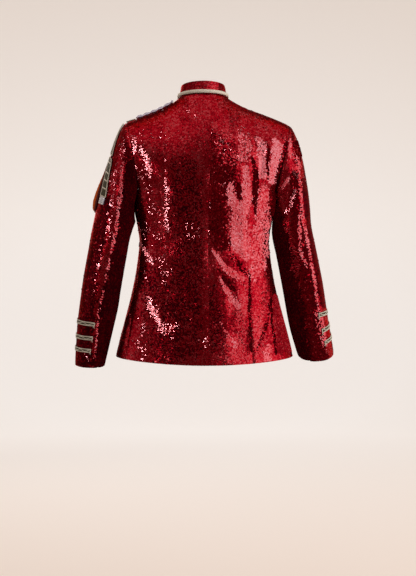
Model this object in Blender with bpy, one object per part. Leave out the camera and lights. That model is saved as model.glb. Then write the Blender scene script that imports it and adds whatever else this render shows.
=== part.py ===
"""A fitted, hip-length military jacket with a stand collar, as the hollow form that it keeps when it is worn.

Every cloth piece is a thin wall on one of two surfaces: the body, read by torso_point, and a sleeve, read by
sleeve_point. What is sewn on a piece is made from the same surface, moved out.

Metres. The front faces -Y, the wearer's left is +X and up is +Z. The origin is in the middle of the neck
opening, level with the points where the shoulder seams meet the collar.
"""

import math
from bisect import bisect_right
from functools import lru_cache

import bmesh
import bpy
from mathutils import Vector
from mathutils.geometry import normal

# Cloth and seams
WALL = 0.0020  # sequinned cloth with its lining
SEAM_GAP = 0.0004
ARMHOLE_GAP = 0.0010  # between the body's armhole edge and the sleeve's head
UNDERARM_GAP = 0.0025  # more of it below, where the sleeve hangs beside the body
TRIM_LIFT = 0.0005  # between a panel and what is sewn on it

# Body: heights of the hem and the armhole's lowest level, and how far the hem drops at the centre back
HEM_LEVEL = -0.6935
HEM_BACK_DROP = 0.0190
HEM_CURVE = 1.3  # how late the drop begins, on the way round to the back
ARMHOLE_LEVEL = -0.2500
ARMHOLE_DIP = 0.0200
SQUARENESS = 2.25  # exponent of the body's cross-section, 2 being an ellipse

# Body cross-sections: height, half of the width, depth behind and in front of the middle
TORSO = (
    # height, half_width, back, front
    (-0.7400, 0.2500, 0.1440, 0.1400),
    (-0.6920, 0.2385, 0.1370, 0.1360),
    (-0.6390, 0.2255, 0.1290, 0.1320),
    (-0.5900, 0.2125, 0.1210, 0.1280),
    (-0.5400, 0.1995, 0.1130, 0.1230),
    (-0.4870, 0.1880, 0.1050, 0.1190),
    (-0.4230, 0.1785, 0.0985, 0.1160),
    (-0.3850, 0.1755, 0.0980, 0.1160),
    (-0.3500, 0.1800, 0.1010, 0.1175),
    (-0.3200, 0.1860, 0.1060, 0.1200),
    (-0.2900, 0.1925, 0.1120, 0.1225),
    (-0.2500, 0.2000, 0.1180, 0.1250),
)

# Neck opening: half of its width, its depth behind and in front, and the rise behind and drop in front
NECK_HALF_WIDTH = 0.0655
NECK_BACK = 0.0620
NECK_FRONT = 0.0700
NECK_RISE = 0.0045
NECK_DROP = 0.0550

# The jacket sits a little to one side: how far each height is moved to the wearer's left
SWAY = (
    # height, shift
    (-0.7500, 0.0000),
    (-0.3000, 0.0000),
    (-0.2000, -0.0025),
    (-0.1000, -0.0065),
    (-0.0600, -0.0065),
    (-0.0200, 0.0005),
    (0.0100, 0.0050),
    (0.0500, 0.0060),
)

# Shoulder seam, from the neck point to the shoulder tip
SHOULDER = (
    # x, height
    (0.0655, 0.0000),
    (0.0820, -0.0125),
    (0.1180, -0.0290),
    (0.1700, -0.0492),
    (0.2190, -0.0690),
)
SHOULDER_STEPS = (0.0, 0.08, 0.17, 0.335, 0.56, 0.78, 1.0)  # shares of the seam at the grid's columns
PRINCESS_STEP = 3  # which of them the back's princess seam runs up to
LEFT_DIP = 0.0055  # how much lower the left shoulder lies halfway along, under its trim
LEFT_DIP_FROM, LEFT_DIP_TO = -0.1500, -0.0500  # heights between which this begins

# Places round the half body, as shares of its girth from the centre back (0) to the centre front (1)
PRINCESS_TOP, PRINCESS_WAIST, PRINCESS_HEM = 0.223, 0.250, 0.186
SIDE_TOP, SIDE_WAIST, SIDE_HEM = 0.470, 0.445, 0.385
WAIST_AT = 0.68  # share of the way from the hem to the armhole
ARMHOLE_BACK, ARMHOLE_FRONT = 0.380, 0.630
NECK_SHARE_BACK, NECK_SHARE_FRONT = 0.380, 0.400  # shares of a yoke's top edge that lie on the neckline

# How the yoke's columns leave the armhole level and reach the top edge
RISE_LENGTH = 0.260
ARMHOLE_BULGE = 0.120  # how far the columns swing out beside the armhole
ARMHOLE_LOWERING = 0.060
ARMHOLE_CLOSENESS = 2.5  # how near the armhole both of these begin
NECK_REACH_BACK = Vector((0, -0.100, 0.160))
NECK_REACH_FRONT = Vector((0, 0.090, 0.130))
SHOULDER_REACH_NECK, SHOULDER_REACH_TIP = 0.150, 0.280
SHOULDER_TILT = 0.20  # how much the shoulder's top slopes down to the front, beside the neck
FRONT_SCOOP = 0.050
NECK_TURN = 2.0  # how near the neck point the neckline's way becomes the shoulder's

# Fronts lap at the centre, the left over the right
LAP = 0.0180
LAP_LIFT = WALL + 0.0006
LAP_RAMP = 0.0300

# Collar
COLLAR_HEIGHT_SIDE = 0.0300
COLLAR_HEIGHT_BACK = 0.0325
COLLAR_LEAN = 0.0060  # how far its top edge leans in
COLLAR_WALL = 0.0026
COLLAR_OPENING = 5.0  # degrees left open each side of the centre front
COLLAR_LIFT = 0.0014
COLLAR_INSET = 0.0004  # from the neckline to the collar's outer face
NECK_CORD_HALF_HEIGHT = 0.0047
NECK_CORD_HALF_WALL = 0.0023
NECK_CORD_RISE = 0.0030  # from the neckline to the cord's lower edge
NECK_CORD_GAP = 0.0008
NECK_CORD_STEPS, NECK_CORD_SIDES = 44, 8

# Sleeves: the arm's middle line and the cross-section at each row, below the sleeve head, and how much
# lower the section's outer line lies than its middle
SLEEVE_LEFT = (
    # x, y, height, half_width, half_depth, slant
    (0.2419, 0.0000, -0.3240, 0.0532, 0.0640, 0.0000),
    (0.2528, 0.0000, -0.3700, 0.0515, 0.0610, 0.0000),
    (0.2622, 0.0000, -0.4234, 0.0514, 0.0580, 0.0000),
    (0.2742, -0.0030, -0.4903, 0.0515, 0.0555, 0.0000),
    (0.2830, -0.0110, -0.5520, 0.0512, 0.0545, 0.0000),
    (0.2915, -0.0220, -0.6008, 0.0490, 0.0525, 0.0000),
    (0.3012, -0.0360, -0.6664, 0.0440, 0.0475, 0.0020),
    (0.3085, -0.0440, -0.7190, 0.0395, 0.0440, 0.0040),
)
SLEEVE_RIGHT = (
    # x, y, height, half_width, half_depth, slant
    (0.2392, 0.0000, -0.3240, 0.0506, 0.0640, 0.0000),
    (0.2400, 0.0000, -0.3593, 0.0540, 0.0615, 0.0000),
    (0.2510, 0.0000, -0.4109, 0.0542, 0.0585, 0.0000),
    (0.2620, -0.0060, -0.4600, 0.0546, 0.0560, 0.0000),
    (0.2735, -0.0180, -0.5082, 0.0550, 0.0550, 0.0000),
    (0.2945, -0.0460, -0.6034, 0.0540, 0.0530, 0.0030),
    (0.3130, -0.0720, -0.6650, 0.0512, 0.0500, 0.0065),
    (0.3225, -0.0850, -0.6950, 0.0490, 0.0490, 0.0095),
)
SLEEVES = {"left": SLEEVE_LEFT, "right": SLEEVE_RIGHT}
HEAD_TOP = Vector((0.800, 0, -0.600))  # the way the sleeve leaves the shoulder tip
HEAD_FOOT = Vector((-0.160, 0, -0.990))  # and the underarm
HEAD_FULLNESS = 0.30  # how much it swells to the back and the front
HEAD_SPREAD = 0.60  # and how much further out it goes there, across the armhole's upright edges
HEAD_START, HEAD_END = 0.40, 0.95  # tangent lengths, as shares of the straight way down
HIND_SEAM, FORE_SEAM = 118.0, 240.0  # degrees round the sleeve, from its outer line to the back
HEAD_SEAM_GAP = 2.2  # times the seams' gap, at the armhole, where the head bends most

# Grid of the walls, and the steps that a surface's outward way is read with
LOWER_ROWS, YOKE_ROWS = 13, 8
NECK_COLUMNS_BACK, NECK_COLUMNS_FRONT = 4, 5
UNDERARM_COLUMNS_BACK, UNDERARM_COLUMNS_FRONT = 3, 4
COLLAR_ROWS = 3
HEAD_ROWS, SLEEVE_ROWS = 6, 12
SLEEVE_PARTS = (
    # name, first_row, last_row
    ("head", 0.0, 1.0),
    ("arm", 1.0, 1.5),
    ("cuff", 1.5, 2.0),
)  # the top sleeve is one cloth, whose solid is made as three simple ones with no visible seam between them
PART_GAP = 0.0006  # rows left free on each side, where two of them meet
SHARE_STEP = 0.004  # of the half girth
ROW_STEP = 0.004  # of a row
TURN_STEP = 3.0  # degrees round a sleeve
HEIGHT_STEP = 0.008  # of height, which the way up the body and down a sleeve is read with
RING_STEPS = 120  # points along the half cross-section
ARMHOLE_STEPS = 24  # points along each side of the armhole
LENGTH_STEPS = 160  # points along the sleeve's outer line, where lengths are measured on it

# Largest folds: side, first and last place as (share round, row), depth and half of the width.
# Rows run from 0 at the hem to 1 at the armhole level and 2 at the shoulder.
TORSO_FOLDS = (
    # side, round_0, row_0, round_1, row_1, depth, width
    ("right", 0.255, 1.45, 0.262, 0.92, 0.0060, 0.020),
    ("right", 0.340, 1.30, 0.270, 0.62, 0.0040, 0.022),
    ("right", 0.120, 0.60, 0.330, 0.50, 0.0035, 0.022),
    ("right", 0.330, 0.42, 0.290, 0.00, 0.0045, 0.026),
    ("right", 0.110, 0.48, 0.140, 0.00, 0.0030, 0.024),
    ("left", 0.340, 1.25, 0.250, 0.80, 0.0045, 0.022),
    ("left", 0.110, 0.58, 0.320, 0.66, 0.0035, 0.024),
    ("left", 0.300, 0.45, 0.270, 0.00, 0.0040, 0.026),
    ("left", 0.650, 1.10, 0.560, 0.55, 0.0035, 0.026),
    ("right", 0.660, 1.15, 0.570, 0.60, 0.0040, 0.026),
)
# Rows of a sleeve run from 0 at the armhole to 1 at the end of its head, and to 2 at the cuff.
SLEEVE_FOLDS = (
    # side, degrees_0, row_0, degrees_1, row_1, depth, width
    ("left", 60.0, 1.42, 150.0, 1.30, 0.0030, 0.018),
    ("left", 70.0, 1.58, 165.0, 1.50, 0.0035, 0.018),
    ("left", 35.0, 0.70, 115.0, 1.10, 0.0030, 0.020),
    ("right", 50.0, 1.36, 150.0, 1.26, 0.0035, 0.018),
    ("right", 65.0, 1.55, 160.0, 1.47, 0.0035, 0.018),
    ("right", 40.0, 0.60, 110.0, 1.15, 0.0035, 0.020),
)

# Mean sizes, which turn shares, rows and degrees into metres where a small gap or a fold is placed
GIRTH = 0.50
ROW_LENGTH = 0.44
YOKE_LENGTH = 0.28  # from the armhole's level to the shoulder seam, along the cloth
SLEEVE_RADIUS = 0.055
CUFF_RADIUS = 0.046
SLEEVE_ROW_LENGTH = 0.38
FOLD_END = 0.25  # share of a fold's depth that is left at its two ends

# Buttons down the centre front
BUTTON_COUNT = 7
BUTTON_TOP, BUTTON_BOTTOM = -0.0900, -0.5300
BUTTON_PROFILE = (
    # radius, height
    (0.0000, 0.0000),
    (0.0085, 0.0000),
    (0.0092, 0.0012),
    (0.0082, 0.0032),
    (0.0052, 0.0050),
    (0.0000, 0.0058),
)
BUTTON_SIDES = 14
BUTTON_LIFT = 0.0004
BUTTON_PROBE = 0.0100  # how far out the way that a button faces is read

# Cuff bars, from the lowest: how far the middle of each lies above the cuff's edge on the sleeve's outer
# line, how much higher its end at the back lies, and its two ends in degrees round the sleeve
CUFF_BARS = (
    # side, number, rise, lean, front_end, hind_end
    ("left", 1, 0.0455, 0.0055, -68.0, 86.0),
    ("left", 2, 0.0800, 0.0095, -68.0, 86.0),
    ("left", 3, 0.1205, 0.0105, -68.0, 86.0),
    ("right", 1, 0.0545, 0.0030, -88.0, 60.0),
    ("right", 2, 0.0905, 0.0030, -88.0, 62.0),
    ("right", 3, 0.1290, 0.0090, -88.0, 66.0),
)
BAR_HEIGHT = 0.0120
BAR_BORDER = 0.0030
BAR_WALL = 0.0014
INSERT_GAP = 0.0005
INSERT_WALL = 0.0009

# Wearer's left shoulder: a silver strip on the seam, a braid strap over the sleeve head and a padded tab
STRIP_FROM, STRIP_TO = 0.10, 0.80  # shares of the shoulder seam
STRIP_STEPS = (0.25, 0.45, 0.67)  # and those between the panels' own columns
STRIP_ACROSS = (-0.0180, -0.0110, -0.0035, 0.0060, 0.0150)  # metres from the seam, to the front
STRIP_LIFT = 0.0012  # over the hollow beside the neck
STRIP_WALL = 0.0015
STRAP_FROM, STRAP_TO = 0.82, 0.985
STRAP_ACROSS = (-0.0080, -0.0035, 0.0045, 0.0090)
STRAP_WALL = 0.0020
STRAP_BORDER = 0.0040
STRAP_END = 0.025  # the frame's end on the shoulder, as a share of its seam
STRAP_EDGE = 0.26  # the frame's long sides, as shares of the strap's width
STRAP_STEPS = 6
STRAP_INSERT_GAPS = (0.004, 0.06)  # shares of the shoulder seam and of the slot
SLOT_GAP = 0.05  # share of the slot
# The strap down the sleeve: distance along the sleeve's outer line from the armhole, middle and half width
STRAP_PATH = (
    # along, degrees, half_width
    (0.0060, 6.0, 0.0080),
    (0.0500, 13.0, 0.0090),
    (0.1000, 22.0, 0.0110),
    (0.1120, 26.0, 0.0125),
    (0.2080, 35.0, 0.0140),
)
STRAP_BREAKS = ((0.0060, 0.0950), (0.1010, 0.2080))  # the upper and the lower length
TIP_ALONG = (0.2090, 0.2290)
TIP_DEGREES, TIP_HALF_WIDTH, TIP_WALL = 36.0, 0.0095, 0.0040
TAB_ALONG = (0.1080, 0.2520)
TAB_DEGREES = (-46.0, 6.0)
TAB_LIFT = 0.0120  # how far it stands off at its fullest
TAB_WALL = 0.0022
TAB_FULLEST = 0.78  # how far down it that is, as a share of its length
TAB_NARROW = 0.35  # its width at the top, as a share of the fullest
TAB_RIDGE = 0.62  # how far across its ridge runs
TAB_ARCH = 0.75  # exponent of its cross-section, rounder below 1
TAB_COLUMNS, TAB_ROWS = 6, 9

MATERIALS = {
    # name: colour, roughness, metallic
    "sequin_cloth": ((0.300, 0.010, 0.025), 0.35, 0.55),
    "gold_braid": ((0.560, 0.440, 0.200), 0.40, 0.80),
    "dark_braid": ((0.045, 0.040, 0.012), 0.55, 0.20),
    "silver_ribbon": ((0.620, 0.590, 0.660), 0.35, 0.40),
    "crystal": ((0.900, 0.920, 0.920), 0.10, 0.10),
    "copper_cloth": ((0.280, 0.070, 0.020), 0.45, 0.20),
    "button_metal": ((0.620, 0.480, 0.220), 0.30, 0.95),
}


def clear_scene():
    for obj in list(bpy.data.objects):
        bpy.data.objects.remove(obj)


@lru_cache(maxsize=None)
def material(name):
    colour, roughness, metallic = MATERIALS[name]
    made = bpy.data.materials.new(name)
    made.use_nodes = True
    shader = made.node_tree.nodes["Principled BSDF"]
    shader.inputs["Base Color"].default_value = (*colour, 1)
    shader.inputs["Roughness"].default_value = roughness
    shader.inputs["Metallic"].default_value = metallic
    return made


def mix(a, b, share):
    return a + (b - a) * share


def ease(share):
    share = min(max(share, 0.0), 1.0)
    return share * share * (3 - 2 * share)


def hermite(start, start_way, end, end_way, t):
    """The cubic from start to end that leaves along start_way and arrives along end_way."""
    t2, t3 = t * t, t * t * t
    return (
        start * (2 * t3 - 3 * t2 + 1)
        + start_way * (t3 - 2 * t2 + t)
        + end * (3 * t2 - 2 * t3)
        + end_way * (t3 - t2)
    )


def read_row(table, at, key=0):
    """The table's row at a value of its key column, smoothly between the rows, as a list of all columns."""
    keys = [row[key] for row in table]
    if keys[0] > keys[-1]:
        table = table[::-1]
        keys = keys[::-1]
    i = min(max(bisect_right(keys, at) - 1, 0), len(keys) - 2)
    span = keys[i + 1] - keys[i]
    t = (at - keys[i]) / span

    def slope(j, column):
        low, high = max(j - 1, 0), min(j + 1, len(keys) - 1)
        return (table[high][column] - table[low][column]) / (keys[high] - keys[low])

    return [
        hermite(table[i][c], slope(i, c) * span, table[i + 1][c], slope(i + 1, c) * span, t)
        for c in range(len(table[0]))
    ]


@lru_cache(maxsize=None)
def ring(height):
    """The half cross-section at a height: points from centre back to centre front, with their shares."""
    _, half_width, back, front = read_row(TORSO, height)
    points = []
    for angle in between(math.pi / 2, -math.pi / 2, RING_STEPS):
        depth = back if angle > 0 else front
        c, s = math.cos(angle), math.sin(angle)
        reach = (abs(c / half_width) ** SQUARENESS + abs(s / depth) ** SQUARENESS) ** (-1 / SQUARENESS)
        points.append((reach * max(c, 0.0), reach * s))
    run = [0.0]
    for a, b in zip(points, points[1:]):
        run.append(run[-1] + math.dist(a, b))
    return points, [length / run[-1] for length in run]


def ring_point(height, share):
    """A place on the cross-section. Past the centre back or front it goes on along the other half."""
    flip = -1 if share < 0 or share > 1 else 1
    share = abs(share) if share < 1 else 2 - share
    points, shares = ring(round(height, 6))
    i = min(max(bisect_right(shares, share) - 1, 0), len(shares) - 2)
    t = (share - shares[i]) / (shares[i + 1] - shares[i])
    x, y = (mix(points[i][k], points[i + 1][k], t) for k in (0, 1))
    return Vector((flip * x, y, height))


def neck_point(angle):
    """The neckline at an angle in degrees: 90 at the centre back, 0 at the side and -90 at the front."""
    c, s = math.cos(math.radians(angle)), math.sin(math.radians(angle))
    if s > 0:
        return Vector((NECK_HALF_WIDTH * c, NECK_BACK * s, NECK_RISE * s))
    return Vector((NECK_HALF_WIDTH * c, NECK_FRONT * s, -NECK_DROP * s * s))


def shoulder_point(share):
    """The shoulder seam, from the neck point to the tip."""
    x = mix(SHOULDER[0][0], SHOULDER[-1][0], share)
    return Vector((x, 0, read_row(SHOULDER, x)[1]))


def top_edge(share):
    """Where the yoke's column at a share round the half body ends, and the way it arrives."""
    flip = -1 if share < 0 or share > 1 else 1
    share = abs(share) if share < 1 else 2 - share
    back = share < 0.5
    along = share / ARMHOLE_BACK if back else (1 - share) / (1 - ARMHOLE_FRONT)
    neck_share = NECK_SHARE_BACK if back else NECK_SHARE_FRONT
    neck_way = NECK_REACH_BACK if back else NECK_REACH_FRONT
    outward = max(0.0, (along - neck_share) / (1 - neck_share))
    reach = mix(SHOULDER_REACH_NECK, SHOULDER_REACH_TIP, outward) * (-1 if back else 1)
    scoop = 0.0 if back else FRONT_SCOOP * ease(outward)
    shoulder_way = Vector((scoop, reach, reach * SHOULDER_TILT * (1 - outward)))
    if along <= neck_share:
        angle = 90 * (1 - along / neck_share)
        end = neck_point(angle if back else -angle)
        way = neck_way.lerp(shoulder_way, ease(along / neck_share) ** NECK_TURN)
    else:
        end = shoulder_point((along - neck_share) / (1 - neck_share))
        way = shoulder_way
    return Vector((flip * end.x, end.y, end.z)), Vector((flip * way.x, way.y, way.z)), along


def lower_seams(row):
    """The shares of the princess and side seams at a row from 0 at the hem to 1 at the armhole."""
    if row >= 1:
        return PRINCESS_TOP, SIDE_TOP
    if row > WAIST_AT:
        t = ease((row - WAIST_AT) / (1 - WAIST_AT))
        return mix(PRINCESS_WAIST, PRINCESS_TOP, t), mix(SIDE_WAIST, SIDE_TOP, t)
    t = ease(row / WAIST_AT)
    return mix(PRINCESS_HEM, PRINCESS_WAIST, t), mix(SIDE_HEM, SIDE_WAIST, t)


def body_surface(share, row):
    """The body without its folds, on the wearer's left half. Rows: 0 hem, 1 armhole level, 2 top edge."""
    if row <= 1:
        middle = (ARMHOLE_BACK + ARMHOLE_FRONT) / 2
        away = abs(share - middle) / ((ARMHOLE_FRONT - ARMHOLE_BACK) / 2)
        dip = ARMHOLE_DIP * max(0.0, 1 - away * away)
        turn = max(0.0, math.cos(math.pi * min(abs(share), 1.0)))
        hem = HEM_LEVEL - HEM_BACK_DROP * turn**HEM_CURVE
        return ring_point(mix(hem, ARMHOLE_LEVEL - dip, row), share)
    foot = ring_point(ARMHOLE_LEVEL, share)
    below = ring_point(ARMHOLE_LEVEL - HEIGHT_STEP, share)
    head, head_way, along = top_edge(share)
    side = 1 if share < 0.5 else -1
    foot_way = (foot - below) * (RISE_LENGTH / HEIGHT_STEP)
    foot_way.y += side * ARMHOLE_BULGE * along**ARMHOLE_CLOSENESS
    foot_way.z -= ARMHOLE_LOWERING * along**ARMHOLE_CLOSENESS
    return hermite(foot, foot_way, head, head_way, row - 1)


def away_from_fold(x, y, fold, x_scale, y_scale):
    """How far a place lies from a fold's line, and how far along the fold its nearest point is."""
    _, x0, y0, x1, y1, _, _ = fold
    way = ((x1 - x0) * x_scale, (y1 - y0) * y_scale)
    here = ((x - x0) * x_scale, (y - y0) * y_scale)
    along = (here[0] * way[0] + here[1] * way[1]) / (way[0] ** 2 + way[1] ** 2)
    near = min(max(along, 0.0), 1.0)
    return math.hypot(here[0] - near * way[0], here[1] - near * way[1]), near


def fold_depth(side, x, y, folds, x_scale, y_scale):
    """How deep the folds press a place in. A fold is deepest at its middle and runs out at its ends."""
    depth = 0.0
    for fold in folds:
        if fold[0] == side:
            away, near = away_from_fold(x, y, fold, x_scale, y_scale)
            fade = mix(FOLD_END, 1.0, math.sin(math.pi * near))
            depth += fold[5] * math.exp(-((away / fold[6]) ** 2)) * fade
    return depth


def placed(side, point):
    """A point worked out for the wearer's left, on its own side and with the jacket's sway."""
    x = point.x if side == "left" else -point.x
    along = (x - SHOULDER[0][0]) / (SHOULDER[-1][0] - SHOULDER[0][0])
    dip = 0.0
    if 0 < along < 1:
        high = ease((point.z - LEFT_DIP_FROM) / (LEFT_DIP_TO - LEFT_DIP_FROM))
        dip = LEFT_DIP * math.sin(math.pi * along) * high
    return Vector((x + read_row(SWAY, point.z)[1], point.y, point.z - dip))


def torso_point(side, share, row, lift=0.0):
    """A point of the body's outer face, moved out by lift."""
    lift -= fold_depth(side, share, row, TORSO_FOLDS, GIRTH, ROW_LENGTH)
    mid = min(max(row, ROW_STEP), 2 - ROW_STEP)
    here = body_surface(share, row)
    across = body_surface(share + SHARE_STEP, mid) - body_surface(share - SHARE_STEP, mid)
    up = body_surface(share, mid + ROW_STEP) - body_surface(share, mid - ROW_STEP)
    return placed(side, here + up.cross(across).normalized() * lift)


@lru_cache(maxsize=None)
def armhole():
    """The body's armhole edge from the shoulder tip down the back, along the bottom and up the front."""
    places = [(ARMHOLE_BACK, row) for row in between(2.0, 1.0, ARMHOLE_STEPS)[:-1]]
    places += [(share, 1.0) for share in between(ARMHOLE_BACK, ARMHOLE_FRONT, ARMHOLE_STEPS)]
    places += [(ARMHOLE_FRONT, row) for row in between(1.0, 2.0, ARMHOLE_STEPS)[1:]]
    points = [body_surface(share, row) for share, row in places]
    run = [0.0]
    for a, b in zip(points, points[1:]):
        run.append(run[-1] + (b - a).length)
    return places, points, [360 * length / run[-1] for length in run]


def armhole_degrees(share, row):
    """The angle round the sleeve that meets a place on the armhole's edge."""
    places, points, degrees = armhole()
    here = body_surface(share, row)
    near = min(range(len(points)), key=lambda i: (points[i] - here).length)
    best = (math.inf, degrees[near])
    for i in (near - 1, near):
        if 0 <= i < len(points) - 1:
            way = points[i + 1] - points[i]
            t = min(max((here - points[i]).dot(way) / way.length_squared, 0.0), 1.0)
            off = (points[i] + way * t - here).length
            best = min(best, (off, mix(degrees[i], degrees[i + 1], t)))
    return best[1]


def armhole_point(degrees):
    degrees %= 360
    _, points, marks = armhole()
    i = min(max(bisect_right(marks, degrees) - 1, 0), len(marks) - 2)
    return points[i].lerp(points[i + 1], (degrees - marks[i]) / (marks[i + 1] - marks[i]))


@lru_cache(maxsize=None)
def sleeve_frame(side, row):
    """The middle, three ways and three sizes of the sleeve's section at a row from 1 to 2."""
    table = SLEEVES[side]
    top, cuff = table[0][2], table[-1][2]
    height = mix(top, cuff, row - 1)
    x, y, _, half_width, half_depth, slant = read_row(table, height, key=2)
    ahead = read_row(table, height - HEIGHT_STEP / 2, key=2)
    behind = read_row(table, height + HEIGHT_STEP / 2, key=2)
    down = Vector((ahead[0] - behind[0], ahead[1] - behind[1], -HEIGHT_STEP)).normalized()
    outward = (Vector((1, 0, 0)) - down * down.x).normalized()
    return Vector((x, y, height)), outward, outward.cross(down), down, half_width, half_depth, slant


def sleeve_surface(side, degrees, row):
    """A sleeve without its folds, as if on the wearer's left. Rows: 0 armhole, 1 end of its head, 2 cuff."""
    middle, outward, back, down, half_width, half_depth, slant = sleeve_frame(side, max(row, 1.0))
    c, s = math.cos(math.radians(degrees)), math.sin(math.radians(degrees))
    place = middle + outward * (half_width * c) + back * (half_depth * s) + down * (slant * c)
    if row >= 1:
        return place
    high = ease((1 + c) / 2)
    way = HEAD_FOOT.lerp(HEAD_TOP, high)
    way.x += HEAD_SPREAD * s * s
    way.y += HEAD_FULLNESS * s
    way.normalize()
    start = armhole_point(degrees)
    start.x += ARMHOLE_GAP + UNDERARM_GAP * (1 - high)
    length = (place - start).length
    return hermite(start, way * (HEAD_START * length), place, down * (HEAD_END * length), row)


def sleeve_point(side, degrees, row, lift=0.0):
    """A point of a sleeve's outer face, moved out by lift."""
    turned = (degrees + 180) % 360 - 180
    lift -= fold_depth(side, turned, row, SLEEVE_FOLDS, math.radians(SLEEVE_RADIUS), SLEEVE_ROW_LENGTH)
    mid = min(max(row, ROW_STEP), 2 - ROW_STEP)
    here = sleeve_surface(side, degrees, row)
    across = sleeve_surface(side, degrees + TURN_STEP, mid) - sleeve_surface(side, degrees - TURN_STEP, mid)
    down = sleeve_surface(side, degrees, mid + ROW_STEP) - sleeve_surface(side, degrees, mid - ROW_STEP)
    return placed(side, here + down.cross(across).normalized() * lift)


def sleeve_row(side, distance, from_cuff=False):
    """The row at a distance along the sleeve's outer line, from the armhole or from the cuff."""
    rows = between(0.0, 2.0, LENGTH_STEPS)
    if from_cuff:
        rows.reverse()
    run, last = 0.0, sleeve_surface(side, 0.0, rows[0])
    for low, high in zip(rows, rows[1:]):
        here = sleeve_surface(side, 0.0, high)
        length = (here - last).length
        if run + length >= distance:
            return mix(low, high, (distance - run) / length)
        run, last = run + length, here
    return rows[-1]


def add_object(name, bm, material_name):
    bmesh.ops.recalc_face_normals(bm, faces=bm.faces)
    mesh = bpy.data.meshes.new(name)
    bm.to_mesh(mesh)
    bm.free()
    mesh.materials.append(material(material_name))
    obj = bpy.data.objects.new(name, mesh)
    bpy.context.scene.collection.objects.link(obj)
    return obj


def halves(corners, points):
    """A four-cornered cell as two triangles, split along the diagonal that bends it least."""

    def bend(triangles):
        first, second = (normal([points[corner] for corner in triangle]) for triangle in triangles)
        return first.dot(second)

    a, b, c, d = corners
    return max(((a, b, c), (a, c, d)), ((b, c, d), (b, d, a)), key=bend)


def wall(name, material_name, columns, rows, outer, inner, keep=None):
    """A closed wall between two faces over a grid. outer and inner give the point at a column and a row.

    keep says which cells of the grid hold cloth. The wall is closed along every edge of those cells. Both
    faces of a cell are split the same way, so that they stay apart where it is twisted.
    """
    cells = {
        (i, j)
        for i in range(len(columns) - 1)
        for j in range(len(rows) - 1)
        if keep is None or keep(i, j)
    }
    bm = bmesh.new()
    corners = sorted({(i + a, j + b) for i, j in cells for a in (0, 1) for b in (0, 1)})
    points = {(i, j): outer(columns[i], rows[j]) for i, j in corners}
    made = {
        (i, j): (bm.verts.new(points[i, j]), bm.verts.new(inner(columns[i], rows[j]))) for i, j in corners
    }
    for i, j in sorted(cells):
        loop = [(i, j), (i + 1, j), (i + 1, j + 1), (i, j + 1)]
        for triangle in halves(loop, points):
            bm.faces.new([made[c][0] for c in triangle])
            bm.faces.new([made[c][1] for c in reversed(triangle)])
        for k, beyond in enumerate(((i, j - 1), (i + 1, j), (i, j + 1), (i - 1, j))):
            if beyond not in cells:
                a, b = loop[k], loop[(k + 1) % 4]
                bm.faces.new([made[b][0], made[a][0], made[a][1], made[b][1]])
    return add_object(name, bm, material_name)


def between(low, high, count):
    """count + 1 numbers from low to high, evenly."""
    return [mix(low, high, k / count) for k in range(count + 1)]


def neck_columns(back):
    """Shares round the half body at the neckline's columns, from the centre outward."""
    if back:
        return between(0.0, ARMHOLE_BACK * NECK_SHARE_BACK, NECK_COLUMNS_BACK)
    return between(1.0, 1 - (1 - ARMHOLE_FRONT) * NECK_SHARE_FRONT, NECK_COLUMNS_FRONT)


def shoulder_columns(back):
    """Shares round the half body at the shoulder seam's columns, from the neck to the tip."""
    reach = ARMHOLE_BACK if back else 1 - ARMHOLE_FRONT
    start = reach * (NECK_SHARE_BACK if back else NECK_SHARE_FRONT)
    shares = [mix(start, reach, step) for step in SHOULDER_STEPS]
    return shares if back else [1 - share for share in shares]


def princess_column():
    return shoulder_columns(back=True)[PRINCESS_STEP]


def bottom_columns():
    """Shares round the half body at the armhole's lowest edge, from the back to the front."""
    back = between(ARMHOLE_BACK, SIDE_TOP, UNDERARM_COLUMNS_BACK)
    return back + between(SIDE_TOP, ARMHOLE_FRONT, UNDERARM_COLUMNS_FRONT)[1:]


def body_panel(name, side, columns, seams, yoke, edge, lap=0.0, lift=None):
    """One panel of the body.

    columns are shares at the armhole level. seams gives the panel's two edges at a lower row. yoke is the
    range of shares that goes on up to the neckline and the shoulder. edge is the gap left at both edges,
    and lap is how far the last one runs past the centre front.
    """
    rows = between(0.0, 1.0, LOWER_ROWS) + between(1.0, 2.0, YOKE_ROWS)[1:]
    first, last = columns[0], columns[-1]
    columns = list(columns)
    if lap:
        columns += [1 + lap / GIRTH / 2, 1 + lap / GIRTH]

    def place(column, row):
        share = column
        if row < 1 and column <= 1:
            share = mix(*seams(row), (column - first) / (last - first))
        if column == first:
            share += edge / GIRTH
        if column == last and not lap:
            share -= edge / GIRTH
        return share, min(row, 2 - SEAM_GAP / 2 / YOKE_LENGTH)

    def out(column):
        return lift(column) if lift else 0.0

    def outer(column, row):
        return torso_point(side, *place(column, row), out(column))

    def inner(column, row):
        return torso_point(side, *place(column, row), out(column) - WALL)

    def keep(i, j):
        middle = (columns[i] + columns[i + 1]) / 2
        return (rows[j] + rows[j + 1]) / 2 < 1 or yoke[0] < middle < yoke[1]

    return wall(name, "sequin_cloth", columns, rows, outer, inner, keep)


def left_front_lift(column):
    """The left front rises to lie over the right one."""
    return LAP_LIFT * ease((column * GIRTH - (GIRTH - LAP - LAP_RAMP)) / LAP_RAMP)


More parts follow.
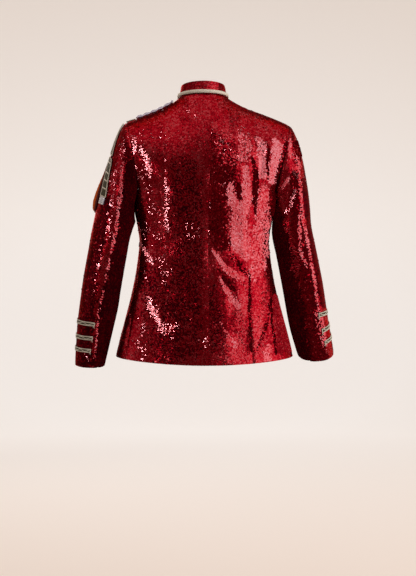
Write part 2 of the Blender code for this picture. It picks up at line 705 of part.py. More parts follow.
def make_body():
    half = SEAM_GAP / 2
    back_columns = neck_columns(True) + shoulder_columns(True)[1 : PRINCESS_STEP + 1]
    underarm = bottom_columns()
    side_columns = shoulder_columns(True)[PRINCESS_STEP:] + underarm[1 : UNDERARM_COLUMNS_BACK + 1]
    front_columns = underarm[UNDERARM_COLUMNS_BACK:] + shoulder_columns(False)[-2::-1]
    front_columns += neck_columns(False)[-2::-1]
    princess = princess_column()

    def back_seams(row):
        return (0.0, mix(lower_seams(row)[0], princess, ease(row)))

    def side_back_seams(row):
        return (back_seams(row)[1], lower_seams(row)[1])

    def front_seams(row):
        return (lower_seams(row)[1], 1.0)

    for side in ("left", "right"):
        body_panel(f"back_{side}", side, back_columns, back_seams, (0, 1), half)
        body_panel(f"side_back_{side}", side, side_columns, side_back_seams, (0, ARMHOLE_BACK), half)
        lift = left_front_lift if side == "left" else None
        body_panel(f"front_{side}", side, front_columns, front_seams, (ARMHOLE_FRONT, 2), half, LAP, lift)


def sleeve_columns():
    """Degrees round the sleeve at its columns: one for each vertex of the body's armhole edge."""
    rows = between(1.0, 2.0, YOKE_ROWS)
    marks = [armhole_degrees(ARMHOLE_BACK, row) for row in reversed(rows)]
    marks += [armhole_degrees(share, 1.0) for share in bottom_columns()[1:-1]]
    marks += [armhole_degrees(ARMHOLE_FRONT, row) for row in rows[:-1]]
    marks[0] = 0.0
    return marks


def nearest(values, wanted):
    return min(range(len(values)), key=lambda i: abs(values[i] - wanted))


def make_sleeves():
    marks = sleeve_columns()
    hind, fore = nearest(marks, HIND_SEAM), nearest(marks, FORE_SEAM)
    pieces = {
        "top_sleeve": [mark - 360 for mark in marks[fore:]] + marks[: hind + 1],
        "under_sleeve": marks[hind : fore + 1],
    }
    rows = between(0.0, 1.0, HEAD_ROWS) + between(1.0, 2.0, SLEEVE_ROWS)[1:]
    gap = math.degrees(SEAM_GAP / 2 / SLEEVE_RADIUS)
    for side in ("left", "right"):
        for piece, columns in pieces.items():
            first, last = columns[0], columns[-1]

            def turned(column, row, first=first, last=last):
                wide = gap * mix(HEAD_SEAM_GAP, 1.0, min(row, 1.0))
                return column + wide * (column == first) - wide * (column == last)

            def sleeve_wall(name, low, high, side=side, columns=columns, turned=turned):
                inside = [row for row in rows if low + PART_GAP < row < high - PART_GAP]
                start = low + PART_GAP if low > 0 else 0.0
                end = high - PART_GAP if high < 2 else 2.0
                wall(
                    name,
                    "sequin_cloth",
                    columns,
                    [start, *inside, end],
                    lambda u, v: sleeve_point(side, turned(u, v), v),
                    lambda u, v: sleeve_point(side, turned(u, v), v, -WALL),
                )

            if piece == "top_sleeve":
                for part, low, high in SLEEVE_PARTS:
                    sleeve_wall(f"{piece}_{part}_{side}", low, high)
            else:
                sleeve_wall(f"{piece}_{side}", 0.0, 2.0)


def collar_angles():
    """Degrees round the neck from one side of the opening, round the back, to the other."""
    back = [90 * (1 - share / (ARMHOLE_BACK * NECK_SHARE_BACK)) for share in neck_columns(True)]
    reach = (1 - ARMHOLE_FRONT) * NECK_SHARE_FRONT
    front = [-90 * (1 - (1 - share) / reach) for share in neck_columns(False)]
    half = back + front[-2::-1]
    half[-1] = -90 + COLLAR_OPENING
    whole = [180 - angle for angle in half[:0:-1]] + half
    return sorted(whole, reverse=True)


def round_neck(angle):
    """The neckline all the way round, with the collar's own place to one side."""
    flip = -1 if angle > 90 else 1
    point = neck_point(180 - angle if angle > 90 else angle)
    return placed("left", Vector((flip * point.x, point.y, point.z)))


def neck_outward(angle):
    flip = -1 if angle > 90 else 1
    turn = math.radians(180 - angle if angle > 90 else angle)
    depth = NECK_BACK if math.sin(turn) > 0 else NECK_FRONT
    return Vector((flip * math.cos(turn) / NECK_HALF_WIDTH, math.sin(turn) / depth, 0)).normalized()


def make_collar():
    def face(angle, share, lift):
        back = max(0.0, math.sin(math.radians(angle)))
        height = mix(COLLAR_HEIGHT_SIDE, COLLAR_HEIGHT_BACK, back)
        lean = COLLAR_LEAN * share
        point = round_neck(angle) + neck_outward(angle) * (lift - lean - COLLAR_INSET)
        point.z += COLLAR_LIFT + height * share
        return point

    wall(
        "collar",
        "sequin_cloth",
        collar_angles(),
        between(0.0, 1.0, COLLAR_ROWS),
        lambda u, v: face(u, v, 0.0),
        lambda u, v: face(u, v, -COLLAR_WALL),
    )


def tube(name, material_name, path, outs, half_wall, half_height, sides):
    """A closed oval tube along a path. outs gives the way of its thinner half at each point."""
    bm = bmesh.new()
    rings = []
    for k, point in enumerate(path):
        ahead = (path[min(k + 1, len(path) - 1)] - path[max(k - 1, 0)]).normalized()
        out = (outs[k] - ahead * outs[k].dot(ahead)).normalized()
        up = ahead.cross(out)
        rings.append(
            [
                bm.verts.new(
                    point
                    + out * (half_wall * math.cos(math.tau * n / sides))
                    + up * (half_height * math.sin(math.tau * n / sides))
                )
                for n in range(sides)
            ]
        )
    for a, b in zip(rings, rings[1:]):
        for n in range(sides):
            m = (n + 1) % sides
            bm.faces.new((a[n], a[m], b[m], b[n]))
    bm.faces.new(rings[0][::-1])
    bm.faces.new(rings[-1])
    return add_object(name, bm, material_name)


def make_neck_cord():
    """The twisted gold cord is sewn flat to the foot of the collar's outer face."""
    angles = between(270 - 2 * COLLAR_OPENING, -90 + 2 * COLLAR_OPENING, NECK_CORD_STEPS)
    outs = [neck_outward(angle) for angle in angles]
    rise = NECK_CORD_RISE + NECK_CORD_HALF_HEIGHT
    reach = NECK_CORD_HALF_WALL + NECK_CORD_GAP - COLLAR_LEAN * rise / COLLAR_HEIGHT_SIDE
    path = [round_neck(angle) + out * reach + Vector((0, 0, rise)) for angle, out in zip(angles, outs)]
    tube(
        "neck_cord",
        "gold_braid",
        path,
        outs,
        NECK_CORD_HALF_WALL,
        NECK_CORD_HALF_HEIGHT,
        NECK_CORD_SIDES,
    )


def make_buttons():
    for k, height in enumerate(between(BUTTON_TOP, BUTTON_BOTTOM, BUTTON_COUNT - 1)):
        low, high = 0.0, 2.0
        for _ in range(30):
            middle = (low + high) / 2
            if torso_point("left", 1.0, middle, LAP_LIFT).z < height:
                low = middle
            else:
                high = middle
        seat = torso_point("left", 1.0, low, LAP_LIFT)
        out = (torso_point("left", 1.0, low, BUTTON_PROBE) - torso_point("left", 1.0, low)).normalized()
        bm = bmesh.new()
        verts = [bm.verts.new((radius, 0, rise)) for radius, rise in BUTTON_PROFILE]
        edges = [bm.edges.new(pair) for pair in zip(verts, verts[1:])]
        bmesh.ops.spin(
            bm, geom=verts + edges, axis=(0, 0, 1), cent=(0, 0, 0), steps=BUTTON_SIDES, angle=math.tau
        )
        bmesh.ops.remove_doubles(bm, verts=bm.verts, dist=1e-5)
        button = add_object(f"button_{k + 1}", bm, "button_metal")
        button.rotation_mode = "QUATERNION"
        button.rotation_quaternion = out.to_track_quat("Z", "Y")
        button.location = seat + out * BUTTON_LIFT


def framed_strip(name, surface, columns, rows, wall_size, lift, insert_gaps, insert_wall):
    """A braid frame with a dark insert. columns and rows hold the frame's outer and inner edges."""
    last_column, last_row = len(columns) - 2, len(rows) - 2
    wall(
        f"{name}_frame",
        "gold_braid",
        columns,
        rows,
        lambda u, v: surface(u, v, lift + wall_size),
        lambda u, v: surface(u, v, lift),
        keep=lambda i, j: i in (0, last_column) or j in (0, last_row),
    )
    across, along = insert_gaps
    inside = [columns[1] + across] + columns[2:-2] + [columns[-2] - across]
    inner_rows = [mix(rows[1], rows[-2], along)] + rows[2:-2] + [mix(rows[1], rows[-2], 1 - along)]
    wall(
        f"{name}_insert",
        "dark_braid",
        inside,
        inner_rows,
        lambda u, v: surface(u, v, lift + insert_wall),
        lambda u, v: surface(u, v, lift),
    )


def make_cuff_bars():
    marks = sleeve_columns()
    around = [mark - 360 for mark in marks if mark > 180] + [mark for mark in marks if mark <= 180]
    border = math.degrees(BAR_BORDER / CUFF_RADIUS)
    reach = (BAR_HEIGHT / 2, BAR_HEIGHT / 2 - BAR_BORDER)
    for side, number, rise, lean, low, high in CUFF_BARS:
        shared = [mark for mark in around if low + 2 * border < mark < high - 2 * border]

        def place(degrees, away, lift, side=side, rise=rise, lean=lean, high=high):
            here = rise + away + lean * max(degrees, 0.0) / high
            return sleeve_point(side, degrees, sleeve_row(side, here, from_cuff=True), lift)

        framed_strip(
            f"cuff_bar_{side}_{number}",
            place,
            [low, low + border] + shared + [high - border, high],
            [reach[0], reach[1], -reach[1], -reach[0]],
            BAR_WALL,
            TRIM_LIFT,
            (math.degrees(INSERT_GAP / CUFF_RADIUS), INSERT_GAP / (2 * reach[1])),
            INSERT_WALL,
        )


def shoulder_top(step, across, lift):
    """A place by the left shoulder seam: a share of the way to its tip, and metres from it to the front."""
    if across < 0:
        share = mix(ARMHOLE_BACK * NECK_SHARE_BACK, ARMHOLE_BACK, step)
    else:
        reach = 1 - ARMHOLE_FRONT
        share = 1 - mix(reach * NECK_SHARE_FRONT, reach, step)
    return torso_point("left", share, 2 - abs(across) / YOKE_LENGTH, lift)


def make_shoulder_strip():
    """The silver strip lies along the left shoulder seam, mostly on its front side."""
    inside = [step for step in SHOULDER_STEPS if STRIP_FROM < step < STRIP_TO]
    wall(
        "shoulder_strip",
        "silver_ribbon",
        sorted([STRIP_FROM, *inside, *STRIP_STEPS, STRIP_TO]),
        STRIP_ACROSS,
        lambda u, v: shoulder_top(u, v, STRIP_LIFT + STRIP_WALL),
        lambda u, v: shoulder_top(u, v, STRIP_LIFT),
    )


def strap_edges(along):
    """The two edges in degrees of the sleeve's strap, at a distance along the sleeve."""
    _, middle, half_width = read_row(STRAP_PATH, along)
    reach = math.degrees(half_width / SLEEVE_RADIUS)
    return middle - reach, middle + reach


def make_straps():
    """The braid strap: a short length on the shoulder, then two down the sleeve, and its bright tip."""
    middle = (STRAP_FROM + STRAP_TO) / 2
    framed_strip(
        "strap_shoulder",
        shoulder_top,
        [STRAP_FROM, STRAP_FROM + STRAP_END, middle, STRAP_TO - STRAP_END, STRAP_TO],
        list(STRAP_ACROSS),
        STRAP_WALL,
        2 * TRIM_LIFT,
        STRAP_INSERT_GAPS,
        INSERT_WALL,
    )

    def on_sleeve(share, along, lift):
        low, high = strap_edges(along)
        return sleeve_point("left", mix(low, high, share), sleeve_row("left", along), lift)

    for k, (start, end) in enumerate(STRAP_BREAKS):
        inside = between(start + STRAP_BORDER, end - STRAP_BORDER, STRAP_STEPS)
        framed_strip(
            f"strap_{k + 1}",
            lambda u, v, lift: on_sleeve(v, u, lift),
            [start, *inside, end],
            [0.0, STRAP_EDGE, 1 - STRAP_EDGE, 1.0],
            STRAP_WALL,
            2 * TRIM_LIFT,
            (INSERT_GAP, SLOT_GAP),
            INSERT_WALL,
        )
    reach = math.degrees(TIP_HALF_WIDTH / SLEEVE_RADIUS)
    wall(
        "strap_tip",
        "crystal",
        between(TIP_DEGREES - reach, TIP_DEGREES + reach, 2),
        between(*TIP_ALONG, 2),
        lambda u, v: sleeve_point("left", u, sleeve_row("left", v), 2 * TRIM_LIFT + TIP_WALL),
        lambda u, v: sleeve_point("left", u, sleeve_row("left", v), 2 * TRIM_LIFT),
    )


def make_sleeve_tab():
    """A padded tab on the outside of the left sleeve. It stands off most near its round lower end."""

    def face(share, along, lift):
        t = (along - TAB_ALONG[0]) / (TAB_ALONG[1] - TAB_ALONG[0])
        past = max(0.0, t - TAB_FULLEST) / (1 - TAB_FULLEST)
        swell = math.sqrt(max(0.0, 1 - past * past)) if past else ease(t / TAB_FULLEST)
        ridge = mix(*TAB_DEGREES, TAB_RIDGE)
        low, high = (mix(ridge, edge, mix(TAB_NARROW, 1.0, swell)) for edge in TAB_DEGREES)
        arch = math.sin(math.pi * share) ** TAB_ARCH if 0 < share < 1 else 0.0
        row = sleeve_row("left", along)
        rise = 3 * TRIM_LIFT + TAB_LIFT * swell * arch
        return sleeve_point("left", mix(low, high, share), row, rise + lift)

    wall(
        "sleeve_tab",
        "copper_cloth",
        between(0.0, 1.0, TAB_COLUMNS),
        between(*TAB_ALONG, TAB_ROWS),
        lambda u, v: face(u, v, TAB_WALL),
        lambda u, v: face(u, v, 0.0),
    )


def main():
    clear_scene()
    make_body()
    make_sleeves()
    make_collar()
    make_neck_cord()
    make_buttons()
    make_cuff_bars()
    make_shoulder_strip()
    make_straps()
    make_sleeve_tab()


main()
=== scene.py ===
"""The looks of a fitted military jacket, seen from behind: red sequins all over and pale gold braid.

Each cloth piece is a thin shell on its solid's own surface, with finer folds, under rows of small sequins.
The two surfaces, body and sleeve, repeat the part's tables. Metres: the front faces -Y, the wearer's left
is +X and up is +Z.
"""

import math
from bisect import bisect_right
from functools import lru_cache, partial
from itertools import accumulate

import bpy
import numpy as np
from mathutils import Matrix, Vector


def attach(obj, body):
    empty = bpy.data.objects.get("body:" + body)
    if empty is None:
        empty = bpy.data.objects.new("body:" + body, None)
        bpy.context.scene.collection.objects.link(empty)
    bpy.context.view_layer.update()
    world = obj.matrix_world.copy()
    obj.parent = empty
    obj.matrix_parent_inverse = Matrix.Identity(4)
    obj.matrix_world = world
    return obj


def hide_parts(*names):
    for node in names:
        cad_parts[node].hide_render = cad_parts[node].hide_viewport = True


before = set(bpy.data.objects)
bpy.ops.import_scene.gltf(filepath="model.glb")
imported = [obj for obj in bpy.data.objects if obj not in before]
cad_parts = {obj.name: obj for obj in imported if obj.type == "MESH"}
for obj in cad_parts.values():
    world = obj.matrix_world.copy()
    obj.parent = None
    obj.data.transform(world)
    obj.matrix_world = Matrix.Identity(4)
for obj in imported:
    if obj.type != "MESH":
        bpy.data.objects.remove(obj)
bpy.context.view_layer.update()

# Cloth and seams, as in the part
WALL = 0.0020
ARMHOLE_GAP = 0.0010
UNDERARM_GAP = 0.0025
TRIM_LIFT = 0.0005

HEM_LEVEL = -0.6935
HEM_BACK_DROP = 0.0190
HEM_CURVE = 1.3
ARMHOLE_LEVEL = -0.2500
ARMHOLE_DIP = 0.0200
SQUARENESS = 2.25

TORSO = (
    # height, half_width, back, front
    (-0.7400, 0.2500, 0.1440, 0.1400),
    (-0.6920, 0.2385, 0.1370, 0.1360),
    (-0.6390, 0.2255, 0.1290, 0.1320),
    (-0.5900, 0.2125, 0.1210, 0.1280),
    (-0.5400, 0.1995, 0.1130, 0.1230),
    (-0.4870, 0.1880, 0.1050, 0.1190),
    (-0.4230, 0.1785, 0.0985, 0.1160),
    (-0.3850, 0.1755, 0.0980, 0.1160),
    (-0.3500, 0.1800, 0.1010, 0.1175),
    (-0.3200, 0.1860, 0.1060, 0.1200),
    (-0.2900, 0.1925, 0.1120, 0.1225),
    (-0.2500, 0.2000, 0.1180, 0.1250),
)

NECK_HALF_WIDTH = 0.0655
NECK_BACK = 0.0620
NECK_FRONT = 0.0700
NECK_RISE = 0.0045
NECK_DROP = 0.0550

SWAY = (
    # height, shift to the wearer's left
    (-0.7500, 0.0000),
    (-0.3000, 0.0000),
    (-0.2000, -0.0025),
    (-0.1000, -0.0065),
    (-0.0600, -0.0065),
    (-0.0200, 0.0005),
    (0.0100, 0.0050),
    (0.0500, 0.0060),
)

SHOULDER = (
    # x, height
    (0.0655, 0.0000),
    (0.0820, -0.0125),
    (0.1180, -0.0290),
    (0.1700, -0.0492),
    (0.2190, -0.0690),
)
PRINCESS_AT = 0.335  # share of the shoulder seam that the back's princess seam runs up to
LEFT_DIP = 0.0055
LEFT_DIP_FROM, LEFT_DIP_TO = -0.1500, -0.0500

PRINCESS_TOP, PRINCESS_WAIST, PRINCESS_HEM = 0.223, 0.250, 0.186
SIDE_TOP, SIDE_WAIST, SIDE_HEM = 0.470, 0.445, 0.385
WAIST_AT = 0.68
ARMHOLE_BACK, ARMHOLE_FRONT = 0.380, 0.630
NECK_SHARE_BACK, NECK_SHARE_FRONT = 0.380, 0.400
NECK_END_BACK = ARMHOLE_BACK * NECK_SHARE_BACK
NECK_END_FRONT = 1 - (1 - ARMHOLE_FRONT) * NECK_SHARE_FRONT
PRINCESS_END = NECK_END_BACK + (ARMHOLE_BACK - NECK_END_BACK) * PRINCESS_AT

RISE_LENGTH = 0.260
ARMHOLE_BULGE = 0.120
ARMHOLE_LOWERING = 0.060
ARMHOLE_CLOSENESS = 2.5
NECK_REACH_BACK = Vector((0, -0.100, 0.160))
NECK_REACH_FRONT = Vector((0, 0.090, 0.130))
SHOULDER_REACH_NECK, SHOULDER_REACH_TIP = 0.150, 0.280
SHOULDER_TILT = 0.20
FRONT_SCOOP = 0.050
NECK_TURN = 2.0

LAP = 0.0180
LAP_LIFT = WALL + 0.0006
LAP_RAMP = 0.0300

COLLAR_HEIGHT_SIDE = 0.0300
COLLAR_HEIGHT_BACK = 0.0325
COLLAR_LEAN = 0.0060
COLLAR_SHELL_WALL = 0.0020
COLLAR_OPENING = 5.0
COLLAR_LIFT = 0.0014
COLLAR_INSET = 0.0004
COLLAR_FOOT = -0.13  # share of its height that the collar's cloth reaches down inside the body
NECK_CORD_HALF_HEIGHT = 0.0047
NECK_CORD_HALF_WALL = 0.0023
NECK_CORD_RISE = 0.0004
NECK_CORD_GAP = 0.0008

SLEEVES = {
    # x, y, height, half_width, half_depth, slant
    "left": (
        (0.2419, 0.0000, -0.3240, 0.0532, 0.0640, 0.0000),
        (0.2528, 0.0000, -0.3700, 0.0515, 0.0610, 0.0000),
        (0.2622, 0.0000, -0.4234, 0.0514, 0.0580, 0.0000),
        (0.2742, -0.0030, -0.4903, 0.0515, 0.0555, 0.0000),
        (0.2830, -0.0110, -0.5520, 0.0512, 0.0545, 0.0000),
        (0.2915, -0.0220, -0.6008, 0.0490, 0.0525, 0.0000),
        (0.3012, -0.0360, -0.6664, 0.0440, 0.0475, 0.0020),
        (0.3085, -0.0440, -0.7190, 0.0395, 0.0440, 0.0040),
    ),
    "right": (
        (0.2392, 0.0000, -0.3240, 0.0506, 0.0640, 0.0000),
        (0.2400, 0.0000, -0.3593, 0.0540, 0.0615, 0.0000),
        (0.2510, 0.0000, -0.4109, 0.0542, 0.0585, 0.0000),
        (0.2620, -0.0060, -0.4600, 0.0546, 0.0560, 0.0000),
        (0.2735, -0.0180, -0.5082, 0.0550, 0.0550, 0.0000),
        (0.2945, -0.0460, -0.6034, 0.0540, 0.0530, 0.0030),
        (0.3130, -0.0720, -0.6650, 0.0512, 0.0500, 0.0065),
        (0.3225, -0.0850, -0.6950, 0.0490, 0.0490, 0.0095),
    ),
}
HEAD_TOP = Vector((0.800, 0, -0.600))
HEAD_FOOT = Vector((-0.160, 0, -0.990))
HEAD_FULLNESS = 0.30
HEAD_SPREAD = 0.60
HEAD_START, HEAD_END = 0.40, 0.95
HIND_SEAM, FORE_SEAM = 121.5, 237.6
SLEEVE_CUTS = (("top_sleeve", FORE_SEAM - 360, HIND_SEAM), ("under_sleeve", HIND_SEAM, FORE_SEAM))
ARMHOLE_MIDDLE = Vector((0.205, 0.0, -0.165))
FLANGE, FLANGE_TURN = 0.0070, 0.0050  # how far the sleeve's edge is turned in under the body's
FLANGE_ROW = -0.02

SHARE_STEP = 0.004
ROW_STEP = 0.004
TURN_STEP = 3.0
HEIGHT_STEP = 0.008
RING_STEPS = 120
ARMHOLE_STEPS = 24
LENGTH_STEPS = 160

GIRTH = 0.50
ROW_LENGTH = 0.44
YOKE_LENGTH = 0.28
SLEEVE_RADIUS = 0.055
CUFF_RADIUS = 0.046
SLEEVE_ROW_LENGTH = 0.38
FOLD_END = 0.25

# On each side the part's own folds come first, then the finer creases. A negative depth is a ridge.
TORSO_FOLDS = {
    # round_0, row_0, round_1, row_1, depth, width
    "left": (
        (0.340, 1.25, 0.250, 0.80, 0.0045, 0.022),
        (0.110, 0.58, 0.320, 0.66, 0.0035, 0.024),
        (0.300, 0.45, 0.270, 0.00, 0.0040, 0.026),
        (0.650, 1.10, 0.560, 0.55, 0.0035, 0.026),
        (0.215, 1.32, 0.205, 1.02, -0.0016, 0.012),
        (0.290, 1.18, 0.262, 0.92, -0.0018, 0.012),
        (0.332, 1.06, 0.300, 0.74, 0.0016, 0.010),
        (0.140, 0.70, 0.262, 0.72, 0.0014, 0.010),
        (0.080, 0.64, 0.200, 0.60, 0.0014, 0.011),
        (0.262, 0.60, 0.390, 0.66, 0.0016, 0.011),
        (0.230, 0.34, 0.225, 0.03, -0.0018, 0.013),
        (0.130, 0.36, 0.120, 0.02, 0.0014, 0.013),
        (0.350, 0.28, 0.352, 0.02, 0.0014, 0.012),
        (0.070, 1.00, 0.140, 0.80, 0.0010, 0.014),
        (0.700, 1.20, 0.610, 0.86, 0.0018, 0.012),
        (0.600, 0.70, 0.760, 0.64, 0.0018, 0.013),
        (0.640, 0.58, 0.820, 0.62, 0.0014, 0.012),
        (0.690, 0.40, 0.700, 0.02, 0.0022, 0.018),
        (0.860, 0.44, 0.840, 0.04, 0.0016, 0.016),
    ),
    "right": (
        (0.255, 1.45, 0.262, 0.92, 0.0060, 0.020),
        (0.340, 1.30, 0.270, 0.62, 0.0040, 0.022),
        (0.120, 0.60, 0.330, 0.50, 0.0035, 0.022),
        (0.330, 0.42, 0.290, 0.00, 0.0045, 0.026),
        (0.110, 0.48, 0.140, 0.00, 0.0030, 0.024),
        (0.660, 1.15, 0.570, 0.60, 0.0040, 0.026),
        (0.205, 1.30, 0.222, 1.00, -0.0022, 0.012),
        (0.300, 1.22, 0.292, 0.96, -0.0024, 0.011),
        (0.338, 1.12, 0.318, 0.80, -0.0018, 0.010),
        (0.268, 1.34, 0.262, 1.06, 0.0020, 0.009),
        (0.318, 1.20, 0.306, 0.98, 0.0016, 0.008),
        (0.190, 0.96, 0.214, 0.64, -0.0018, 0.012),
        (0.150, 0.74, 0.205, 0.70, 0.0014, 0.010),
        (0.100, 0.68, 0.215, 0.60, 0.0016, 0.010),
        (0.270, 0.70, 0.400, 0.66, 0.0016, 0.010),
        (0.262, 0.58, 0.390, 0.52, 0.0014, 0.011),
        (0.215, 0.34, 0.212, 0.02, -0.0022, 0.013),
        (0.165, 0.40, 0.172, 0.05, -0.0016, 0.012),
        (0.352, 0.30, 0.360, 0.02, 0.0018, 0.011),
        (0.060, 1.05, 0.130, 0.84, 0.0012, 0.014),
        (0.090, 1.62, 0.210, 1.50, 0.0010, 0.016),
        (0.710, 1.22, 0.620, 0.90, 0.0018, 0.012),
        (0.590, 0.66, 0.740, 0.70, 0.0018, 0.013),
        (0.650, 0.56, 0.800, 0.58, 0.0014, 0.012),
        (0.700, 0.42, 0.720, 0.02, 0.0022, 0.018),
        (0.850, 0.40, 0.860, 0.04, 0.0016, 0.016),
    ),
}
SLEEVE_FOLDS = {
    # degrees_0, row_0, degrees_1, row_1, depth, width
    "left": (
        (60.0, 1.42, 150.0, 1.30, 0.0030, 0.018),
        (70.0, 1.58, 165.0, 1.50, 0.0035, 0.018),
        (35.0, 0.70, 115.0, 1.10, 0.0030, 0.020),
        (100.0, 1.36, 170.0, 1.38, -0.0018, 0.011),
        (95.0, 1.52, 172.0, 1.44, -0.0016, 0.010),
        (55.0, 1.66, 120.0, 1.60, 0.0014, 0.010),
        (80.0, 0.62, 128.0, 0.90, 0.0016, 0.011),
        (20.0, 1.05, 95.0, 1.24, 0.0012, 0.012),
        (-120.0, 1.46, -60.0, 1.40, 0.0024, 0.014),
        (-130.0, 1.56, -70.0, 1.54, 0.0018, 0.012),
        (-110.0, 0.80, -70.0, 1.12, 0.0020, 0.014),
        (30.0, 1.84, 110.0, 1.78, 0.0010, 0.012),
        (180.0, 0.90, 180.0, 1.04, -0.0026, 0.020),
    ),
    "right": (
        (50.0, 1.36, 150.0, 1.26, 0.0035, 0.018),
        (65.0, 1.55, 160.0, 1.47, 0.0035, 0.018),
        (40.0, 0.60, 110.0, 1.15, 0.0035, 0.020),
        (90.0, 1.31, 168.0, 1.34, -0.0018, 0.011),
        (90.0, 1.49, 170.0, 1.40, -0.0016, 0.010),
        (50.0, 1.64, 125.0, 1.58, 0.0014, 0.010),
        (82.0, 0.60, 130.0, 0.92, 0.0016, 0.011),
        (25.0, 1.02, 90.0, 1.20, 0.0012, 0.012),
        (-125.0, 1.42, -60.0, 1.38, 0.0024, 0.014),
        (-130.0, 1.54, -70.0, 1.50, 0.0018, 0.012),
        (-112.0, 0.80, -70.0, 1.12, 0.0020, 0.014),
        (28.0, 1.82, 105.0, 1.76, 0.0010, 0.012),
        (186.0, 0.96, 188.0, 1.12, -0.0034, 0.020),
    ),
}

# Trim
CUFF_BARS = (
    # side, number, rise, lean, front_end, hind_end
    ("left", 1, 0.0455, 0.0055, -68.0, 86.0),
    ("left", 2, 0.0800, 0.0095, -68.0, 86.0),
    ("left", 3, 0.1205, 0.0105, -68.0, 86.0),
    ("right", 1, 0.0545, 0.0030, -88.0, 60.0),
    ("right", 2, 0.0905, 0.0030, -88.0, 62.0),
    ("right", 3, 0.1290, 0.0090, -88.0, 66.0),
)
BAR_HEIGHT = 0.0120
BAR_BORDER = 0.0030
BAR_CORD_LIFT, THREAD_LIFT, TAIL_LIFT = TRIM_LIFT + 0.0009, TRIM_LIFT + 0.0014, TRIM_LIFT + 0.001
BRAID_CROWN, BRAID_WALL = 0.0006, 0.0006
ZIGZAG_WAVES, ZIGZAG_SWING, ZIGZAG_RADIUS = 4, 0.0026, 0.0008
TAILS = ((-3, 0.006), (0, 0.007), (3, 0.008))  # loose thread ends: degrees aside and metres down
TAIL_RADIUS = 0.0004
STRIP_FROM, STRIP_TO = 0.10, 0.80
STRIP_ACROSS = (-0.0225, 0.0150)
RIBBON_WAVES, RIBBON_ARCH, RIBBON_WAVE = 5.5, 0.0072, 0.0012
RIBBON_LIFT, RIBBON_WALL = 0.0008, 0.0007
RIBBON_SKEW = 5  # radians of a wave between the ribbon's two edges
STRAP_FROM, STRAP_TO = 0.82, 0.985
STRAP_ACROSS = (-0.0080, 0.0090)
STRAP_PATH = (
    # along, degrees, half_width
    (0.0060, 6.0, 0.0080),
    (0.0500, 13.0, 0.0090),
    (0.1000, 22.0, 0.0110),
    (0.1120, 26.0, 0.0125),
    (0.2080, 35.0, 0.0140),
)
STRAP_BREAKS = ((0.0060, 0.0950), (0.1010, 0.2080))
CROSS_BARS = (0.1140, 0.1410, 0.1620, 0.1840)  # along the sleeve, over the lower length's slot
STRAP_CORD_LIFT, CROSS_BAR_LIFT, SLOT_LIFT = 0.0022, 0.0026, 0.0008
TIP_ALONG = (0.2090, 0.2290)
TIP_DEGREES, TIP_HALF_WIDTH = 36.0, 0.0095
STONE_RINGS = (
    # rise, radius, turn in eighths
    (0.0000, 0.0014, 0.0),
    (0.0012, 0.0025, 0.0),
    (0.0024, 0.0015, 0.5),
)
TAB_ALONG = (0.1080, 0.2520)
TAB_DEGREES = (-46.0, 6.0)
TAB_BARE, TAB_BARE_DEGREES = (0.10, 0.93), (-34.0, 6.0)  # of its length and round the arm, without sequins
TAB_LIFT = 0.0120
TAB_FULLEST = 0.78
TAB_NARROW = 0.35
TAB_RIDGE = 0.62
TAB_ARCH = 0.75
TAB_COPPER = (0.25, 0.92)  # the copper band of its width
TAB_GRID = (28, 44)
TAB_QUILT = 0.0012
PIPING_RADIUS = 0.0013

BUTTON_COUNT = 7
BUTTON_TOP, BUTTON_BOTTOM = -0.0900, -0.5300
BUTTON_LIFT = 0.0004
BUTTON_PROBE = 0.0100
BUTTON_SIDES = 32
BUTTON_RIM = (0.0083, 0.0024)
BUTTON_PROFILE = (
    # radius, rise
    (0.0000, 0.0000),
    (0.0076, 0.0000),
    (0.0088, 0.0006),
    (0.0092, 0.0014),
    (0.0088, 0.0022),
    (0.0080, 0.0024),
    (0.0074, 0.0030),
    (0.0060, 0.0042),
    (0.0040, 0.0051),
    (0.0020, 0.0056),
    (0.0000, 0.0058),
)

# Twisted cords: half height off the cloth, half width, metres a turn, strands
NECK_CORD = (NECK_CORD_HALF_WALL, NECK_CORD_HALF_HEIGHT, 0.0130, 3)
BAR_CORD = (0.0011, BAR_BORDER / 2, 0.0062, 2)
STRAP_CORD = (0.0013, 0.0019, 0.0075, 2)
RIM_CORD = (0.0007, 0.0007, 0.0026, 2)
STRAND_AWAY, STRAND_SIZE = 0.46, 0.56  # shares of the cord's half sizes

# Shells and sequins
CELL = 0.0060  # of a shell's grid
SHELL_LIFT = -0.0007  # of its outer face, so that the sequins reach the solid's
SHELL_WALL = 0.0013
CORNER_WIDTH, CORNER_ROUNDS = 0.035, 24  # share of the round that is smoothed by the neck, and how often
EDGE_CLEAR = 0.0009  # a sequin's middle keeps this far from a seam
SEAM_REACH = 0.03
PITCH, ROW_PITCH = 0.0034, 0.866  # between sequins, and its share between rows
SEQUIN_RADIUS = 0.0021
RADIUS_SPREAD = (0.94, 1.06)
SEQUIN_LIFT = 0.0004
SHINGLE = 4.0  # degrees that a sequin's lower edge stands out
SHAKE = 3.2  # degrees of its own tilt
LOOSE_SHARE, LOOSE_SHAKE = 0.03, 20.0  # and of the few that hang loose
MOST_TILT = 55
STREAK, STREAK_SIZE = 3.0, (0.0075, 0.055)  # degrees of tilt that a string of sequins shares, and its size
PATCH, PATCH_SIZE = 5.0, (0.03, 0.05)  # and that a patch shares
SHADE, SHADE_SHAKE, SHADE_PATCH = 0.45, 0.10, 0.08  # the middle shade, and how far sequins and patches vary
SEED = 20

# The photographer's place, in the view from behind
VIEW_DISTANCE = 3.2
VIEW_TURN = math.radians(6.0)
VIEW_HEIGHT = -0.5117
VIEW_HALF_HEIGHT = 0.7775  # of what the frame shows at the jacket
VIEW_SHIFT = 0.0095

